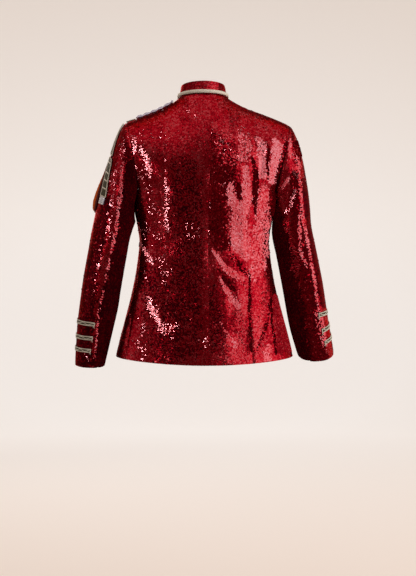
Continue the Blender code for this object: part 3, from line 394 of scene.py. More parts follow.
# How the sequins lie in that view. Each mark is a path whose sequins turn towards what they mirror, and
# most are painted paler (painted highlight) or darker (painted shade) as well; dim marks are only painted
# shade. The front has the same marks the other way round.
NAP = {
    # what it mirrors, share of its sequins, (right, up, half width) in millimetres of the view
    "body right": (
        ("dark", 0.95, (117, 354, 2), (123, 337, 6), (128, 319, 8), (130, 267, 11), (126, 238, 8),
            (127, 216, 6), (129, 194, 2)),
        ("dark", 0.85, (162, 383, 4), (163, 359, 6), (163, 332, 5), (161, 313, 6), (163, 297, 4)),
        ("dark", 0.35, (-27, 416, 11), (11, 400, 24), (46, 381, 27), (59, 351, 24)),
        ("dark", 0.6, (62, 346, 11), (62, 319, 18), (62, 289, 18)),
        ("dark", 0.9, (24, 332, 24), (27, 265, 23), (30, 170, 23), (35, 121, 24)),
        ("key", 0.6, (151, 265, 13), (148, 197, 19), (140, 130, 22), (135, 70, 22), (124, 35, 16)),
        ("mid", 0.5, (132, 16, 16), (135, -59, 16), (132, -127, 13)),
        ("key", 0.45, (97, 400, 19), (103, 356, 19)),
        ("dark", 0.9, (81, 281, 7), (84, 265, 11), (85, 248, 8), (86, 235, 3)),
        ("key", 0.88, (103, 324, 8), (103, 292, 12), (105, 251, 12), (103, 205, 12)),
        ("pale", 0.93, (63, 278, 8), (63, 259, 11), (65, 232, 11)),
        ("key", 0.93, (86, 216, 22), (84, 170, 24), (89, 121, 22), (103, 86, 13)),
        ("pale", 0.92, (135, 400, 8), (146, 378, 11), (146, 346, 11), (148, 305, 12)),
        ("pale", 0.95, (178, 400, 5), (186, 383, 16), (184, 359, 15), (178, 332, 13), (173, 292, 11)),
        ("dark", 0.55, (57, 103, 4), (67, 84, 6), (90, 54, 9), (105, 40, 7), (113, 30, 3)),
        ("key", 0.9, (12, 105, 3), (28, 81, 6), (48, 55, 8), (70, 35, 10), (90, 24, 10)),
        ("dark", 0.9, (30, 49, 3), (46, 24, 7), (62, 5, 8), (74, -11, 4)),
        ("mid", 0.8, (88, 11, 9), (88, -32, 12), (89, -86, 13), (90, -140, 15), (92, -197, 16)),
        ("key", 0.85, (30, 30, 3), (48, -3, 6), (67, -32, 8), (81, -49, 8)),
        ("key", 0.55, (35, -92, 2), (46, -116, 4), (59, -135, 5), (76, -157, 6)),
        ("dark", 0.9, (111, 24, 3), (111, -5, 4), (113, -32, 5), (111, -59, 4), (113, -92, 4),
            (114, -127, 5), (117, -170, 4)),
        ("dark", 0.6, (165, -32, 3), (162, -76, 5), (154, -108, 5), (144, -132, 5), (132, -165, 4)),
        ("top", 0.9, (178, -22, 7), (192, -81, 16), (208, -154, 24)),
        ("dark", 0.85, (169, 8, 3), (170, -32, 3), (171, -86, 3), (177, -124, 4), (183, -178, 3)),
        ("key", 0.6, (165, -159, 8), (162, -189, 11)),
        ("dark", 0.8, (211, 397, 4), (204, 364, 5), (197, 337, 6), (188, 310, 6), (181, 265, 5),
            (175, 197, 4)),
        ("glint", 0.07, (13, 424, 11), (38, 394, 19), (54, 375, 13)),
        ("glint", 0.2, (94, 418, 11), (105, 400, 13), (103, 373, 13), (94, 346, 11)),
        ("glint", 0.14, (130, 405, 8), (146, 391, 13), (148, 367, 11)),
        ("glint", 0.45, (-4, 381, 3), (-3, 337, 3)),
        ("glint", 0.45, (-3, 273, 4), (-1, 221, 4)),
        ("glint", 0.3, (-3, 181, 4), (0, 119, 3)),
        ("glint", 0.2, (-1, 0, 5), (0, -13, 4)),
        ("glint", 0.15, (43, 281, 5), (51, 248, 5)),
        ("dim", 0.4, (11, -5, 13), (16, -86, 22), (22, -154, 24)),
    ),
    "body left": (
        ("dim", 0.45, (-151, 35, 32), (-135, -32, 43), (-116, -113, 49), (-103, -173, 43)),
        ("dim", 0.45, (-62, 319, 38), (-59, 211, 43), (-59, 103, 43), (-59, -32, 43), (-54, -154, 38)),
        ("glint", 0.8, (-201, 405, 4), (-198, 383, 7), (-200, 367, 4)),
        ("glint", 0.65, (-185, 381, 4), (-175, 364, 8), (-167, 343, 8), (-159, 319, 7), (-157, 302, 3)),
        ("glint", 0.18, (-192, 324, 5), (-181, 305, 11), (-170, 289, 5)),
        ("glint", 0.2, (-211, 346, 7), (-202, 337, 5)),
        ("glint", 0.04, (-202, 410, 11), (-157, 405, 16), (-116, 405, 13)),
        ("glint", 0.15, (-115, 351, 3), (-115, 313, 3)),
        ("glint", 0.7, (-115, 297, 3), (-112, 275, 6), (-111, 243, 5), (-113, 205, 5), (-111, 173, 5),
            (-109, 151, 3)),
        ("glint", 0.13, (-162, 270, 8), (-151, 243, 8)),
        ("glint", 0.09, (-157, 216, 11), (-135, 189, 11)),
        ("glint", 0.08, (-167, 167, 11), (-143, 130, 16), (-113, 113, 8)),
        ("glint", 0.7, (-182, 119, 3), (-169, 100, 5), (-157, 76, 8), (-151, 65, 3)),
        ("glint", 0.14, (-130, 78, 8), (-113, 43, 11), (-116, 11, 5)),
        ("glint", 0.12, (-170, 43, 5), (-162, 19, 5)),
        ("glint", 0.75, (-159, -27, 5), (-153, -51, 8), (-140, -76, 7), (-130, -94, 7)),
        ("glint", 0.5, (-130, -92, 8), (-116, -113, 15)),
        ("glint", 0.22, (-103, -108, 11), (-73, -94, 5)),
        ("glint", 0.12, (-181, -81, 8), (-175, -119, 8), (-189, -140, 8)),
        ("glint", 0.12, (-192, -157, 11), (-173, -173, 11)),
        ("glint", 0.1, (-208, -189, 8), (-181, -192, 8)),
        ("glint", 0.4, (-57, 481, 4), (-49, 475, 4)),
        ("glint", 0.4, (-35, 462, 4), (-32, 459, 4)),
        ("glint", 0.1, (-54, 167, 11), (-38, 140, 11)),
        ("glint", 0.3, (-11, -140, 8), (-5, -154, 7)),
    ),
    "sleeve left": (
        ("dim", 0.9, (-270, 238, 11), (-281, 197, 13), (-297, 130, 19), (-313, 49, 22), (-329, -32, 24),
            (-337, -167, 24), (-340, -221, 27)),
        ("dark", 0.7, (-221, 391, 5), (-216, 367, 11), (-211, 329, 15)),
        ("shadow", 1, (-211, 332, 13), (-211, 265, 22), (-216, 197, 24), (-229, 130, 27), (-243, 49, 30),
            (-256, -32, 32), (-273, -154, 32), (-281, -221, 32)),
        ("key", 0.6, (-228, 340, 3), (-233, 313, 4), (-234, 278, 5), (-236, 246, 5), (-242, 216, 4),
            (-245, 184, 4), (-250, 151, 4), (-256, 121, 4), (-262, 97, 3)),
        ("key", 0.5, (-265, 86, 2), (-270, 54, 4), (-277, 22, 2), (-283, -11, 2), (-290, -40, 2),
            (-296, -70, 3), (-298, -108, 2), (-302, -154, 2), (-308, -194, 3)),
        ("glint", 0.3, (-248, 324, 4), (-255, 292, 6), (-259, 259, 6), (-261, 224, 6), (-263, 194, 5),
            (-268, 162, 6), (-271, 132, 5)),
        ("glint", 0.22, (-225, 410, 4), (-229, 381, 6), (-227, 354, 6)),
        ("glint", 0.15, (-289, 108, 5), (-294, 54, 5), (-305, 22, 4), (-302, -13, 4)),
        ("glint", 0.08, (-332, -173, 8), (-327, -192, 5)),
    ),
    "sleeve right": (
        ("dim", 1, (256, 292, 8), (270, 211, 11), (286, 103, 11), (300, 22, 11), (310, -46, 8)),
        ("dark", 0.95, (232, 305, 13), (238, 197, 16), (251, 116, 19), (265, 35, 22), (278, -46, 24),
            (289, -140, 27), (297, -216, 30)),
        ("shadow", 1, (186, 211, 11), (194, 143, 22), (211, 62, 27), (224, -32, 30), (240, -140, 32),
            (254, -216, 32)),
        ("dark", 0.6, (238, 383, 13), (240, 346, 13)),
        ("key", 0.85, (221, 405, 3), (221, 381, 4), (220, 359, 3)),
        ("key", 0.45, (224, 364, 8), (240, 346, 8), (246, 327, 5)),
        ("key", 0.6, (242, 346, 3), (248, 300, 4), (252, 221, 4), (256, 184, 4), (266, 138, 4),
            (275, 86, 4), (283, 46, 4), (289, 5, 4), (294, -32, 4), (302, -62, 4), (313, -105, 3),
            (320, -165, 2)),
        ("key", 0.6, (245, 200, 2), (246, 162, 5), (248, 121, 3), (252, 92, 6), (264, 67, 5), (270, 51, 2)),
        ("top", 0.6, (229, 108, 8), (238, 84, 12), (235, 54, 11)),
        ("top", 0.4, (192, 227, 8), (202, 265, 8), (211, 292, 5)),
        ("key", 0.7, (218, 297, 3), (208, 281, 4), (201, 270, 3)),
        ("key", 0.3, (294, -65, 8), (305, -113, 9), (313, -154, 5)),
        ("glint", 0.6, (232, 319, 3), (240, 300, 4)),
        ("glint", 0.85, (234, 262, 4), (227, 238, 4), (224, 224, 3)),
        ("glint", 0.5, (223, 219, 3), (211, 207, 4)),
    ),
}
MIRRORED = {
    "key": (-2.10, 1.53, 0.00),
    "mid": (-2.10, 1.53, 0.00),
    "pale": (-2.10, 1.53, 0.00),
    "glint": (1.70, 2.35, 0.00),
    "dark": (-0.10, 3.10, -0.90),
    "shadow": (-0.10, 3.10, -0.90),
    "top": (0.00, 0.70, 2.00),
}
# The shade that each kind of mark paints on its sequins: above 0 is painted highlight, paler and glossier,
# below 0 is painted shade
NAP_PAINTED_LIGHT = {
    "pale": 0.42,
    "key": 0.30,
    "mid": 0.05,
    "glint": 0.60,
    "dark": -0.20,
    "dim": -0.40,
    "shadow": -0.40,
}
NAP_HOLD = 0.9  # share of the turn that a marked sequin makes
NAP_SHAKE, LEAST_SHAKE = {"glint": 0.028, "top": 0.030}, 0.012
RAGGED, RAGGED_SIZE, RAGGED_SHAKE = 0.35, (0.007, 0.012), 0.12  # of a mark's edge
GLINT_FULL, GLINT_WIDTH = 1.25, 1.6  # a glint fades out from its path, over this share of its half width
NAP_STEP = 0.002  # between a path's places
NAP_REACH = 0.04  # a path has no sequins further away than this


def mix(a, b, share):
    return a + (b - a) * share


def ease(share):
    share = min(max(share, 0.0), 1.0)
    return share * share * (3 - 2 * share)


def between(low, high, count):
    """count + 1 numbers from low to high, evenly."""
    return [mix(low, high, k / count) for k in range(count + 1)]


def hermite(start, start_way, end, end_way, t):
    t2, t3 = t * t, t * t * t
    return (
        start * (2 * t3 - 3 * t2 + 1)
        + start_way * (t3 - 2 * t2 + t)
        + end * (3 * t2 - 2 * t3)
        + end_way * (t3 - t2)
    )


def read_row(table, at, key=0):
    """The table's row at a value of its key column, smoothly between the rows."""
    keys = [row[key] for row in table]
    if keys[0] > keys[-1]:
        table = table[::-1]
        keys = keys[::-1]
    i = min(max(bisect_right(keys, at) - 1, 0), len(keys) - 2)
    span = keys[i + 1] - keys[i]
    t = (at - keys[i]) / span

    def slope(j, column):
        low, high = max(j - 1, 0), min(j + 1, len(keys) - 1)
        return (table[high][column] - table[low][column]) / (keys[high] - keys[low])

    return [
        hermite(table[i][c], slope(i, c) * span, table[i + 1][c], slope(i + 1, c) * span, t)
        for c in range(len(table[0]))
    ]


def run_of(lengths):
    return list(accumulate(lengths, initial=0.0))


def within(values, low, high):
    return (values > low) & (values < high)


def unit(ways):
    return ways / np.maximum(np.linalg.norm(ways, axis=-1, keepdims=True), 1e-12)


@lru_cache(maxsize=None)
def ring(height):
    """The half cross-section at a height: points from centre back to centre front, with their shares."""
    _, half_width, back, front = read_row(TORSO, height)
    points = []
    for angle in between(math.pi / 2, -math.pi / 2, RING_STEPS):
        depth = back if angle > 0 else front
        c, s = math.cos(angle), math.sin(angle)
        reach = (abs(c / half_width) ** SQUARENESS + abs(s / depth) ** SQUARENESS) ** (-1 / SQUARENESS)
        points.append((reach * max(c, 0.0), reach * s))
    run = run_of([math.dist(a, b) for a, b in zip(points, points[1:])])
    return points, [length / run[-1] for length in run]


def ring_point(height, share):
    flip = -1 if share < 0 or share > 1 else 1
    share = abs(share) if share < 1 else 2 - share
    points, shares = ring(round(height, 6))
    i = min(max(bisect_right(shares, share) - 1, 0), len(shares) - 2)
    t = (share - shares[i]) / (shares[i + 1] - shares[i])
    x, y = (mix(points[i][k], points[i + 1][k], t) for k in (0, 1))
    return Vector((flip * x, y, height))


def neck_point(angle):
    """The neckline at an angle in degrees: 90 at the centre back, 0 at the side and -90 at the front."""
    c, s = math.cos(math.radians(angle)), math.sin(math.radians(angle))
    if s > 0:
        return Vector((NECK_HALF_WIDTH * c, NECK_BACK * s, NECK_RISE * s))
    return Vector((NECK_HALF_WIDTH * c, NECK_FRONT * s, -NECK_DROP * s * s))


def shoulder_point(share):
    x = mix(SHOULDER[0][0], SHOULDER[-1][0], share)
    return Vector((x, 0, read_row(SHOULDER, x)[1]))


def top_edge(share):
    """Where the yoke's column at a share round the half body ends, and the way it arrives."""
    flip = -1 if share < 0 or share > 1 else 1
    share = abs(share) if share < 1 else 2 - share
    back = share < 0.5
    along = share / ARMHOLE_BACK if back else (1 - share) / (1 - ARMHOLE_FRONT)
    neck_share = NECK_SHARE_BACK if back else NECK_SHARE_FRONT
    neck_way = NECK_REACH_BACK if back else NECK_REACH_FRONT
    outward = max(0.0, (along - neck_share) / (1 - neck_share))
    reach = mix(SHOULDER_REACH_NECK, SHOULDER_REACH_TIP, outward) * (-1 if back else 1)
    scoop = 0.0 if back else FRONT_SCOOP * ease(outward)
    shoulder_way = Vector((scoop, reach, reach * SHOULDER_TILT * (1 - outward)))
    if along <= neck_share:
        angle = 90 * (1 - along / neck_share)
        end = neck_point(angle if back else -angle)
        way = neck_way.lerp(shoulder_way, ease(along / neck_share) ** NECK_TURN)
    else:
        end = shoulder_point((along - neck_share) / (1 - neck_share))
        way = shoulder_way
    return Vector((flip * end.x, end.y, end.z)), Vector((flip * way.x, way.y, way.z)), along


def lower_seams(row):
    """The shares of the princess and side seams at a row from 0 at the hem to 1 at the armhole."""
    if row >= 1:
        return PRINCESS_TOP, SIDE_TOP
    if row > WAIST_AT:
        t = ease((row - WAIST_AT) / (1 - WAIST_AT))
        return mix(PRINCESS_WAIST, PRINCESS_TOP, t), mix(SIDE_WAIST, SIDE_TOP, t)
    t = ease(row / WAIST_AT)
    return mix(PRINCESS_HEM, PRINCESS_WAIST, t), mix(SIDE_HEM, SIDE_WAIST, t)


def body_surface(share, row):
    """The body without its folds, on the wearer's left half. Rows: 0 hem, 1 armhole level, 2 top edge."""
    if row <= 1:
        middle = (ARMHOLE_BACK + ARMHOLE_FRONT) / 2
        away = abs(share - middle) / ((ARMHOLE_FRONT - ARMHOLE_BACK) / 2)
        dip = ARMHOLE_DIP * max(0.0, 1 - away * away)
        turn = max(0.0, math.cos(math.pi * min(abs(share), 1.0)))
        hem = HEM_LEVEL - HEM_BACK_DROP * turn**HEM_CURVE
        return ring_point(mix(hem, ARMHOLE_LEVEL - dip, row), share)
    foot = ring_point(ARMHOLE_LEVEL, share)
    below = ring_point(ARMHOLE_LEVEL - HEIGHT_STEP, share)
    head, head_way, along = top_edge(share)
    side = 1 if share < 0.5 else -1
    foot_way = (foot - below) * (RISE_LENGTH / HEIGHT_STEP)
    foot_way.y += side * ARMHOLE_BULGE * along**ARMHOLE_CLOSENESS
    foot_way.z -= ARMHOLE_LOWERING * along**ARMHOLE_CLOSENESS
    return hermite(foot, foot_way, head, head_way, row - 1)


def placed(side, point):
    """A point worked out for the wearer's left, on its own side and with the jacket's sway."""
    x = point.x if side == "left" else -point.x
    along = (x - SHOULDER[0][0]) / (SHOULDER[-1][0] - SHOULDER[0][0])
    dip = 0.0
    if 0 < along < 1:
        high = ease((point.z - LEFT_DIP_FROM) / (LEFT_DIP_TO - LEFT_DIP_FROM))
        dip = LEFT_DIP * math.sin(math.pi * along) * high
    return Vector((x + read_row(SWAY, point.z)[1], point.y, point.z - dip))


def fold_depth(folds, x, y, x_scale, y_scale):
    """How deep the folds press places in. A fold is deepest at its middle and runs out at its ends."""
    x, y = np.asarray(x, float) * x_scale, np.asarray(y, float) * y_scale
    depth = np.zeros(np.broadcast(x, y).shape)
    for x0, y0, x1, y1, most, width in folds:
        a, b = (x1 - x0) * x_scale, (y1 - y0) * y_scale
        dx, dy = x - x0 * x_scale, y - y0 * y_scale
        near = np.clip((dx * a + dy * b) / (a * a + b * b), 0, 1)
        away = np.hypot(dx - near * a, dy - near * b)
        depth += most * np.exp(-((away / width) ** 2)) * mix(FOLD_END, 1.0, np.sin(np.pi * near))
    return depth


def torso_depth(side, share, row):
    return fold_depth(TORSO_FOLDS[side], share, row, GIRTH, ROW_LENGTH)


def sleeve_depth(side, degrees, row):
    turned = (np.asarray(degrees, float) + 180) % 360 - 180
    return fold_depth(SLEEVE_FOLDS[side], turned, row, math.radians(SLEEVE_RADIUS), SLEEVE_ROW_LENGTH)


def raised(side, surface, column, row, step, lift):
    """A point of a surface, moved out by lift. step is how far it looks along the row for its slope."""
    mid = min(max(row, ROW_STEP), 2 - ROW_STEP)
    across = surface(column + step, mid) - surface(column - step, mid)
    along = surface(column, mid + ROW_STEP) - surface(column, mid - ROW_STEP)
    return placed(side, surface(column, row) + along.cross(across).normalized() * lift)


def torso_point(side, share, row, lift=0.0):
    """A point of the body's outer face, moved out by lift."""
    lift -= float(torso_depth(side, share, row))
    return raised(side, body_surface, share, row, SHARE_STEP, lift)


@lru_cache(maxsize=None)
def armhole():
    """The body's armhole edge from the shoulder tip down the back, along the bottom and up the front."""
    places = [(ARMHOLE_BACK, row) for row in between(2.0, 1.0, ARMHOLE_STEPS)[:-1]]
    places += [(share, 1.0) for share in between(ARMHOLE_BACK, ARMHOLE_FRONT, ARMHOLE_STEPS)]
    places += [(ARMHOLE_FRONT, row) for row in between(1.0, 2.0, ARMHOLE_STEPS)[1:]]
    points = [body_surface(share, row) for share, row in places]
    run = run_of([(b - a).length for a, b in zip(points, points[1:])])
    return points, [360 * length / run[-1] for length in run]


def armhole_point(degrees):
    degrees %= 360
    points, marks = armhole()
    i = min(max(bisect_right(marks, degrees) - 1, 0), len(marks) - 2)
    return points[i].lerp(points[i + 1], (degrees - marks[i]) / (marks[i + 1] - marks[i]))


@lru_cache(maxsize=None)
def sleeve_frame(side, row):
    """The middle, three ways and three sizes of the sleeve's section at a row from 1 to 2."""
    table = SLEEVES[side]
    height = mix(table[0][2], table[-1][2], row - 1)
    x, y, _, half_width, half_depth, slant = read_row(table, height, key=2)
    ahead = read_row(table, height - HEIGHT_STEP / 2, key=2)
    behind = read_row(table, height + HEIGHT_STEP / 2, key=2)
    down = Vector((ahead[0] - behind[0], ahead[1] - behind[1], -HEIGHT_STEP)).normalized()
    outward = (Vector((1, 0, 0)) - down * down.x).normalized()
    return Vector((x, y, height)), outward, outward.cross(down), down, half_width, half_depth, slant


def sleeve_surface(side, degrees, row):
    """A sleeve without its folds, as if on the left. Rows: 0 armhole, 1 end of its head, 2 cuff."""
    middle, outward, back, down, half_width, half_depth, slant = sleeve_frame(side, max(row, 1.0))
    c, s = math.cos(math.radians(degrees)), math.sin(math.radians(degrees))
    place = middle + outward * (half_width * c) + back * (half_depth * s) + down * (slant * c)
    if row >= 1:
        return place
    if row < 0:
        edge = sleeve_surface(side, degrees, 0.0)
        return edge + (ARMHOLE_MIDDLE - edge).normalized() * FLANGE_TURN - Vector((FLANGE, 0, 0))
    high = ease((1 + c) / 2)
    way = HEAD_FOOT.lerp(HEAD_TOP, high)
    way.x += HEAD_SPREAD * s * s
    way.y += HEAD_FULLNESS * s
    way.normalize()
    start = armhole_point(degrees)
    start.x += ARMHOLE_GAP + UNDERARM_GAP * (1 - high)
    length = (place - start).length
    return hermite(start, way * (HEAD_START * length), place, down * (HEAD_END * length), row)


def sleeve_point(side, degrees, row, lift=0.0):
    """A point of a sleeve's outer face, moved out by lift."""
    lift -= float(sleeve_depth(side, degrees, row))
    return raised(side, partial(sleeve_surface, side), degrees, row, TURN_STEP, lift)


def smooth_body(side, share, row):
    """A point of the body's outer face without its folds."""
    return placed(side, body_surface(share, row))


def smooth_sleeve(side, degrees, row):
    """A point of a sleeve's outer face without its folds."""
    return placed(side, sleeve_surface(side, degrees, row))


@lru_cache(maxsize=None)
def outer_line(side, from_cuff):
    """Rows down a sleeve's outer line, with their distances from the armhole or from the cuff."""
    rows = between(0.0, 2.0, LENGTH_STEPS)
    if from_cuff:
        rows.reverse()
    points = [sleeve_surface(side, 0.0, row) for row in rows]
    return rows, run_of([(b - a).length for a, b in zip(points, points[1:])])


def sleeve_row(side, distance, from_cuff=False):
    rows, run = outer_line(side, from_cuff)
    return float(np.interp(distance, run, rows))


def shoulder_top(step, across, lift):
    """A place by the left shoulder seam: a share of the way to its tip, and metres from it to the front."""
    if across < 0:
        share = mix(NECK_END_BACK, ARMHOLE_BACK, step)
    else:
        reach = 1 - ARMHOLE_FRONT
        share = 1 - mix(reach * NECK_SHARE_FRONT, reach, step)
    return torso_point("left", share, 2 - abs(across) / YOKE_LENGTH, lift)


def round_neck(angle):
    flip = -1 if angle > 90 else 1
    point = neck_point(180 - angle if angle > 90 else angle)
    return placed("left", Vector((flip * point.x, point.y, point.z)))


def neck_outward(angle):
    flip = -1 if angle > 90 else 1
    turn = math.radians(180 - angle if angle > 90 else angle)
    depth = NECK_BACK if math.sin(turn) > 0 else NECK_FRONT
    return Vector((flip * math.cos(turn) / NECK_HALF_WIDTH, math.sin(turn) / depth, 0)).normalized()


def collar_point(angle, share):
    back = max(0.0, math.sin(math.radians(angle)))
    height = mix(COLLAR_HEIGHT_SIDE, COLLAR_HEIGHT_BACK, back)
    point = round_neck(angle) - neck_outward(angle) * (COLLAR_LEAN * share + COLLAR_INSET)
    point.z += COLLAR_LIFT + height * share
    return point


# Materials
class Surface:
    """A Principled material under construction, with short names for its nodes."""

    def __init__(self, name, colour, roughness, metallic=0.0, **sockets):
        self.material = bpy.data.materials.new(name)
        self.material.use_nodes = True
        self.tree = self.material.node_tree
        self.shader = self.tree.nodes["Principled BSDF"]
        self.put("Base Color", (*colour, 1))
        self.put("Roughness", roughness)
        self.put("Metallic", metallic)
        for socket, value in sockets.items():
            self.put(socket.replace("_", " "), value)

    def put(self, socket, value):
        self.shader.inputs[socket].default_value = value

    def join(self, output, socket):
        self.tree.links.new(output, self.shader.inputs[socket])

    def node(self, kind, inputs=(), **settings):
        made = self.tree.nodes.new(kind)
        for name, value in settings.items():
            setattr(made, name, value)
        for name, value in dict(inputs).items():
            if isinstance(value, bpy.types.NodeSocket):
                self.tree.links.new(value, made.inputs[name])
            else:
                made.inputs[name].default_value = value
        return made

    def placed(self, **mapping):
        """Places on the object, moved and stretched."""
        place = self.node("ShaderNodeTexCoord").outputs["Object"]
        return self.node("ShaderNodeMapping", {"Vector": place, **mapping}).outputs["Vector"]

    def noise(self, scale, detail=3.0, stretch=(1, 1, 1)):
        where = {"Vector": self.placed(Scale=stretch), "Scale": scale, "Detail": detail}
        return self.node("ShaderNodeTexNoise", where).outputs["Fac"]

    def ramp(self, value, *stops):
        """What a value stands for. Each stop is a place from 0 to 1 with a colour or a number."""
        made = self.node("ShaderNodeValToRGB", {"Fac": value})
        elements = made.color_ramp.elements
        while len(elements) < len(stops):
            elements.new(0.5)
        for element, (at, colour) in zip(elements, stops):
            element.position = at
            element.color = (*np.broadcast_to(colour, 3), 1)
        return made.outputs["Color"]

    def bump(self, value, distance, strength=1.0):
        inputs = {"Height": value, "Distance": distance, "Strength": strength}
        self.join(self.node("ShaderNodeBump", inputs).outputs["Normal"], "Normal")

    def grain(self, noise, *stops, relief, strength=1.0):
        """Colour and relief from one noise. Returns the material."""
        self.join(self.ramp(noise, *stops), "Base Color")
        self.bump(noise, relief, strength)
        return self.material


# The sequins' colour by shade. The middle stops are their own red tones; the dark end is painted shade and
# the pale, pinkish end painted highlight.
SEQUIN_COLOURS = (
    # shade, colour
    (0.00, (0.050, 0.001, 0.004)),
    (0.25, (0.190, 0.001, 0.006)),
    (0.45, (0.380, 0.004, 0.012)),
    (0.55, (0.420, 0.022, 0.030)),
    (0.78, (0.450, 0.042, 0.052)),
    (1.00, (0.540, 0.130, 0.150)),
)


def sequin_material():
    """A sequin's shade is its face's attribute of that name, from 0 to 1: dark with painted shade, pale
    with painted highlight. The palest are the glossiest.
    """
    made = Surface("sequins", (0.40, 0.006, 0.015), 0.24, 0.92, Coat_Roughness=0.15)
    made.put("Specular Tint", (0.80, 0.03, 0.05, 1))
    shade = made.node("ShaderNodeAttribute", attribute_name="shade").outputs["Fac"]
    made.join(made.ramp(shade, *SEQUIN_COLOURS), "Base Color")
    made.join(made.ramp(shade, (0.0, 0.34), (1.0, 0.20)), "Roughness")
    made.join(made.ramp(shade, (0.5, 0.0), (0.9, 1.0)), "Coat Weight")
    return made.material


def ground_material():
    """The knitted ground under the sequins, which shows between them."""
    made = Surface("ground_knit", (0.060, 0.002, 0.006), 0.9, Specular_IOR_Level=0.05)
    knit = made.noise(900.0, 2.0, (1, 1, 0.5))
    return made.grain(knit, (0.3, (0.045, 0.001, 0.003)), (0.75, (0.110, 0.002, 0.007)), relief=0.0004)


def lining_material():
    made = Surface("lining_satin", (0.075, 0.004, 0.012), 0.38, 0.0, Sheen_Weight=0.4, Sheen_Roughness=0.35)
    twill = made.noise(260.0, 4.0, (1, 1, 0.12))
    made.join(made.ramp(twill, (0.3, (0.055, 0.003, 0.009)), (0.7, (0.100, 0.006, 0.017))), "Base Color")
    made.bump(made.noise(38.0, 4.0, (1, 1, 0.35)), 0.0012, 0.6)
    return made.material


def thread_material(name, dark, light, roughness, metallic):
    made = Surface(name, light, roughness, metallic)
    return made.grain(made.noise(1500.0), (0.32, dark), (0.68, light), relief=0.0003, strength=0.8)


def ribbon_material():
    made = Surface("silver_ribbon", (0.8, 0.78, 0.86), 0.26, 0.35)
    tones = ((0.25, (0.36, 0.32, 0.42)), (0.55, (0.58, 0.54, 0.66)), (0.8, (0.88, 0.86, 0.93)))
    return made.grain(made.noise(700.0, 2.0, (1, 0.15, 1)), *tones, relief=0.0002)


def satin_material(name, dark, light, roughness):
    made = Surface(name, light, roughness, Specular_IOR_Level=0.1)
    weave = made.noise(1100.0, 3.0, (1, 1, 0.3))
    return made.grain(weave, (0.3, dark), (0.7, light), relief=0.0002, strength=0.7)


def brass_material():
    made = Surface("button_brass", (0.62, 0.46, 0.20), 0.26, 1.0)
    worn = made.noise(300.0, 5.0)
    made.join(made.ramp(worn, (0.3, (0.42, 0.29, 0.11)), (0.65, (0.68, 0.52, 0.25))), "Base Color")
    made.join(made.ramp(worn, (0.3, 0.42), (0.7, 0.20)), "Roughness")
    return made.material


def backdrop_material():
    """Pale paper with a painted glow, brightest low in the middle, which stands in for lamps behind the
    jacket.
    """
    made = Surface("backdrop", (0.44, 0.41, 0.38), 0.9, Emission_Strength=1.0)
    centre = [-scale * place for scale, place in zip(GLOW_SCALE, GLOW_PLACE)]
    around = {"Vector": made.placed(Location=centre, Scale=GLOW_SCALE)}
    near = made.node("ShaderNodeTexGradient", around, gradient_type="SPHERICAL").outputs["Fac"]
    glow = ((0.0, 0.0), (0.22, (0.51, 0.42, 0.355)), (0.8, (0.655, 0.625, 0.60)))
    made.join(made.ramp(near, *glow), "Emission Color")
    return made.material


# Mesh helpers
def add_object(name, data):
    obj = bpy.data.objects.new(name, data)
    bpy.context.scene.collection.objects.link(obj)
    return obj


def add_mesh(name, points, faces, materials, marks=None, smooth=True):
    """A mesh piece. marks says which of its materials each face has."""
    mesh = bpy.data.meshes.new(name)
    mesh.from_pydata([tuple(p) for p in points], [], faces)
    for material in materials:
        mesh.materials.append(material)
    if marks is not None:
        mesh.polygons.foreach_set("material_index", np.asarray(marks, np.int32))
    mesh.polygons.foreach_set("use_smooth", [smooth] * len(mesh.polygons))
    mesh.update()
    return add_object(name, mesh)


def dress(obj, slot, *nodes):
    """The piece rides with the jacket and stands for the nodes, which it hides. slot is not used."""
    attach(obj, "root")
    if nodes:
        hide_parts(*nodes)


def run_along(points):
    """The length of a path up to each of its points."""
    return np.concatenate([[0.0], np.cumsum(np.linalg.norm(np.diff(points, axis=0), axis=1))])


def resample(points, step, closed=False):
    """A path's points again, evenly spaced, and its length."""
    points = np.asarray(points, float)
    if closed:
        points = np.vstack([points, points[:1]])
    run = run_along(points)
    at = np.linspace(0, run[-1], max(4, int(round(run[-1] / step))) + 1)
    made = np.stack([np.interp(at, run, points[:, k]) for k in range(3)], 1)
    return (made[:-1] if closed else made), run[-1]


def path_ways(points, outs, closed):
    """Three ways at each point of a path: ahead, out, as near to outs as can be, and to the side."""
    ahead = np.roll(points, -1, 0) - np.roll(points, 1, 0) if closed else np.gradient(points, axis=0)
    ahead = unit(ahead)
    out = unit(outs - ahead * (outs * ahead).sum(1, keepdims=True))
    return ahead, out, np.cross(ahead, out)


def ring_faces(low, high, sides):
    """The faces between two rings of points, which start at the numbers low and high."""
    turned = [(n, (n + 1) % sides) for n in range(sides)]
    return [(low + n, low + after, high + after, high + n) for n, after in turned]


def tube_parts(points, outs, half_out, half_side, sides, closed=False):
    """Points and faces of an oval tube along a path. outs gives the way of its first half size."""
    points = np.asarray(points, float)
    _, out, side = path_ways(points, np.asarray(outs, float), closed)
    turn = np.arange(sides) * math.tau / sides
    rings = (
        points[:, None]
        + out[:, None] * np.cos(turn)[None, :, None] * half_out
        + side[:, None] * np.sin(turn)[None, :, None] * half_side
    )
    count = len(points)
    faces = []
    for k in range(count if closed else count - 1):
        faces += ring_faces(k * sides, ((k + 1) % count) * sides, sides)
    if not closed:
        faces += [tuple(range(sides))[::-1], tuple(range((count - 1) * sides, count * sides))]
    return rings.reshape(-1, 3), faces


def join_parts(parts):
    points, faces, start = [], [], 0
    for some_points, some_faces in parts:
        points.append(np.asarray(some_points, float))
        faces.extend(tuple(v + start for v in face) for face in some_faces)
        start += len(some_points)
    return np.concatenate(points), faces


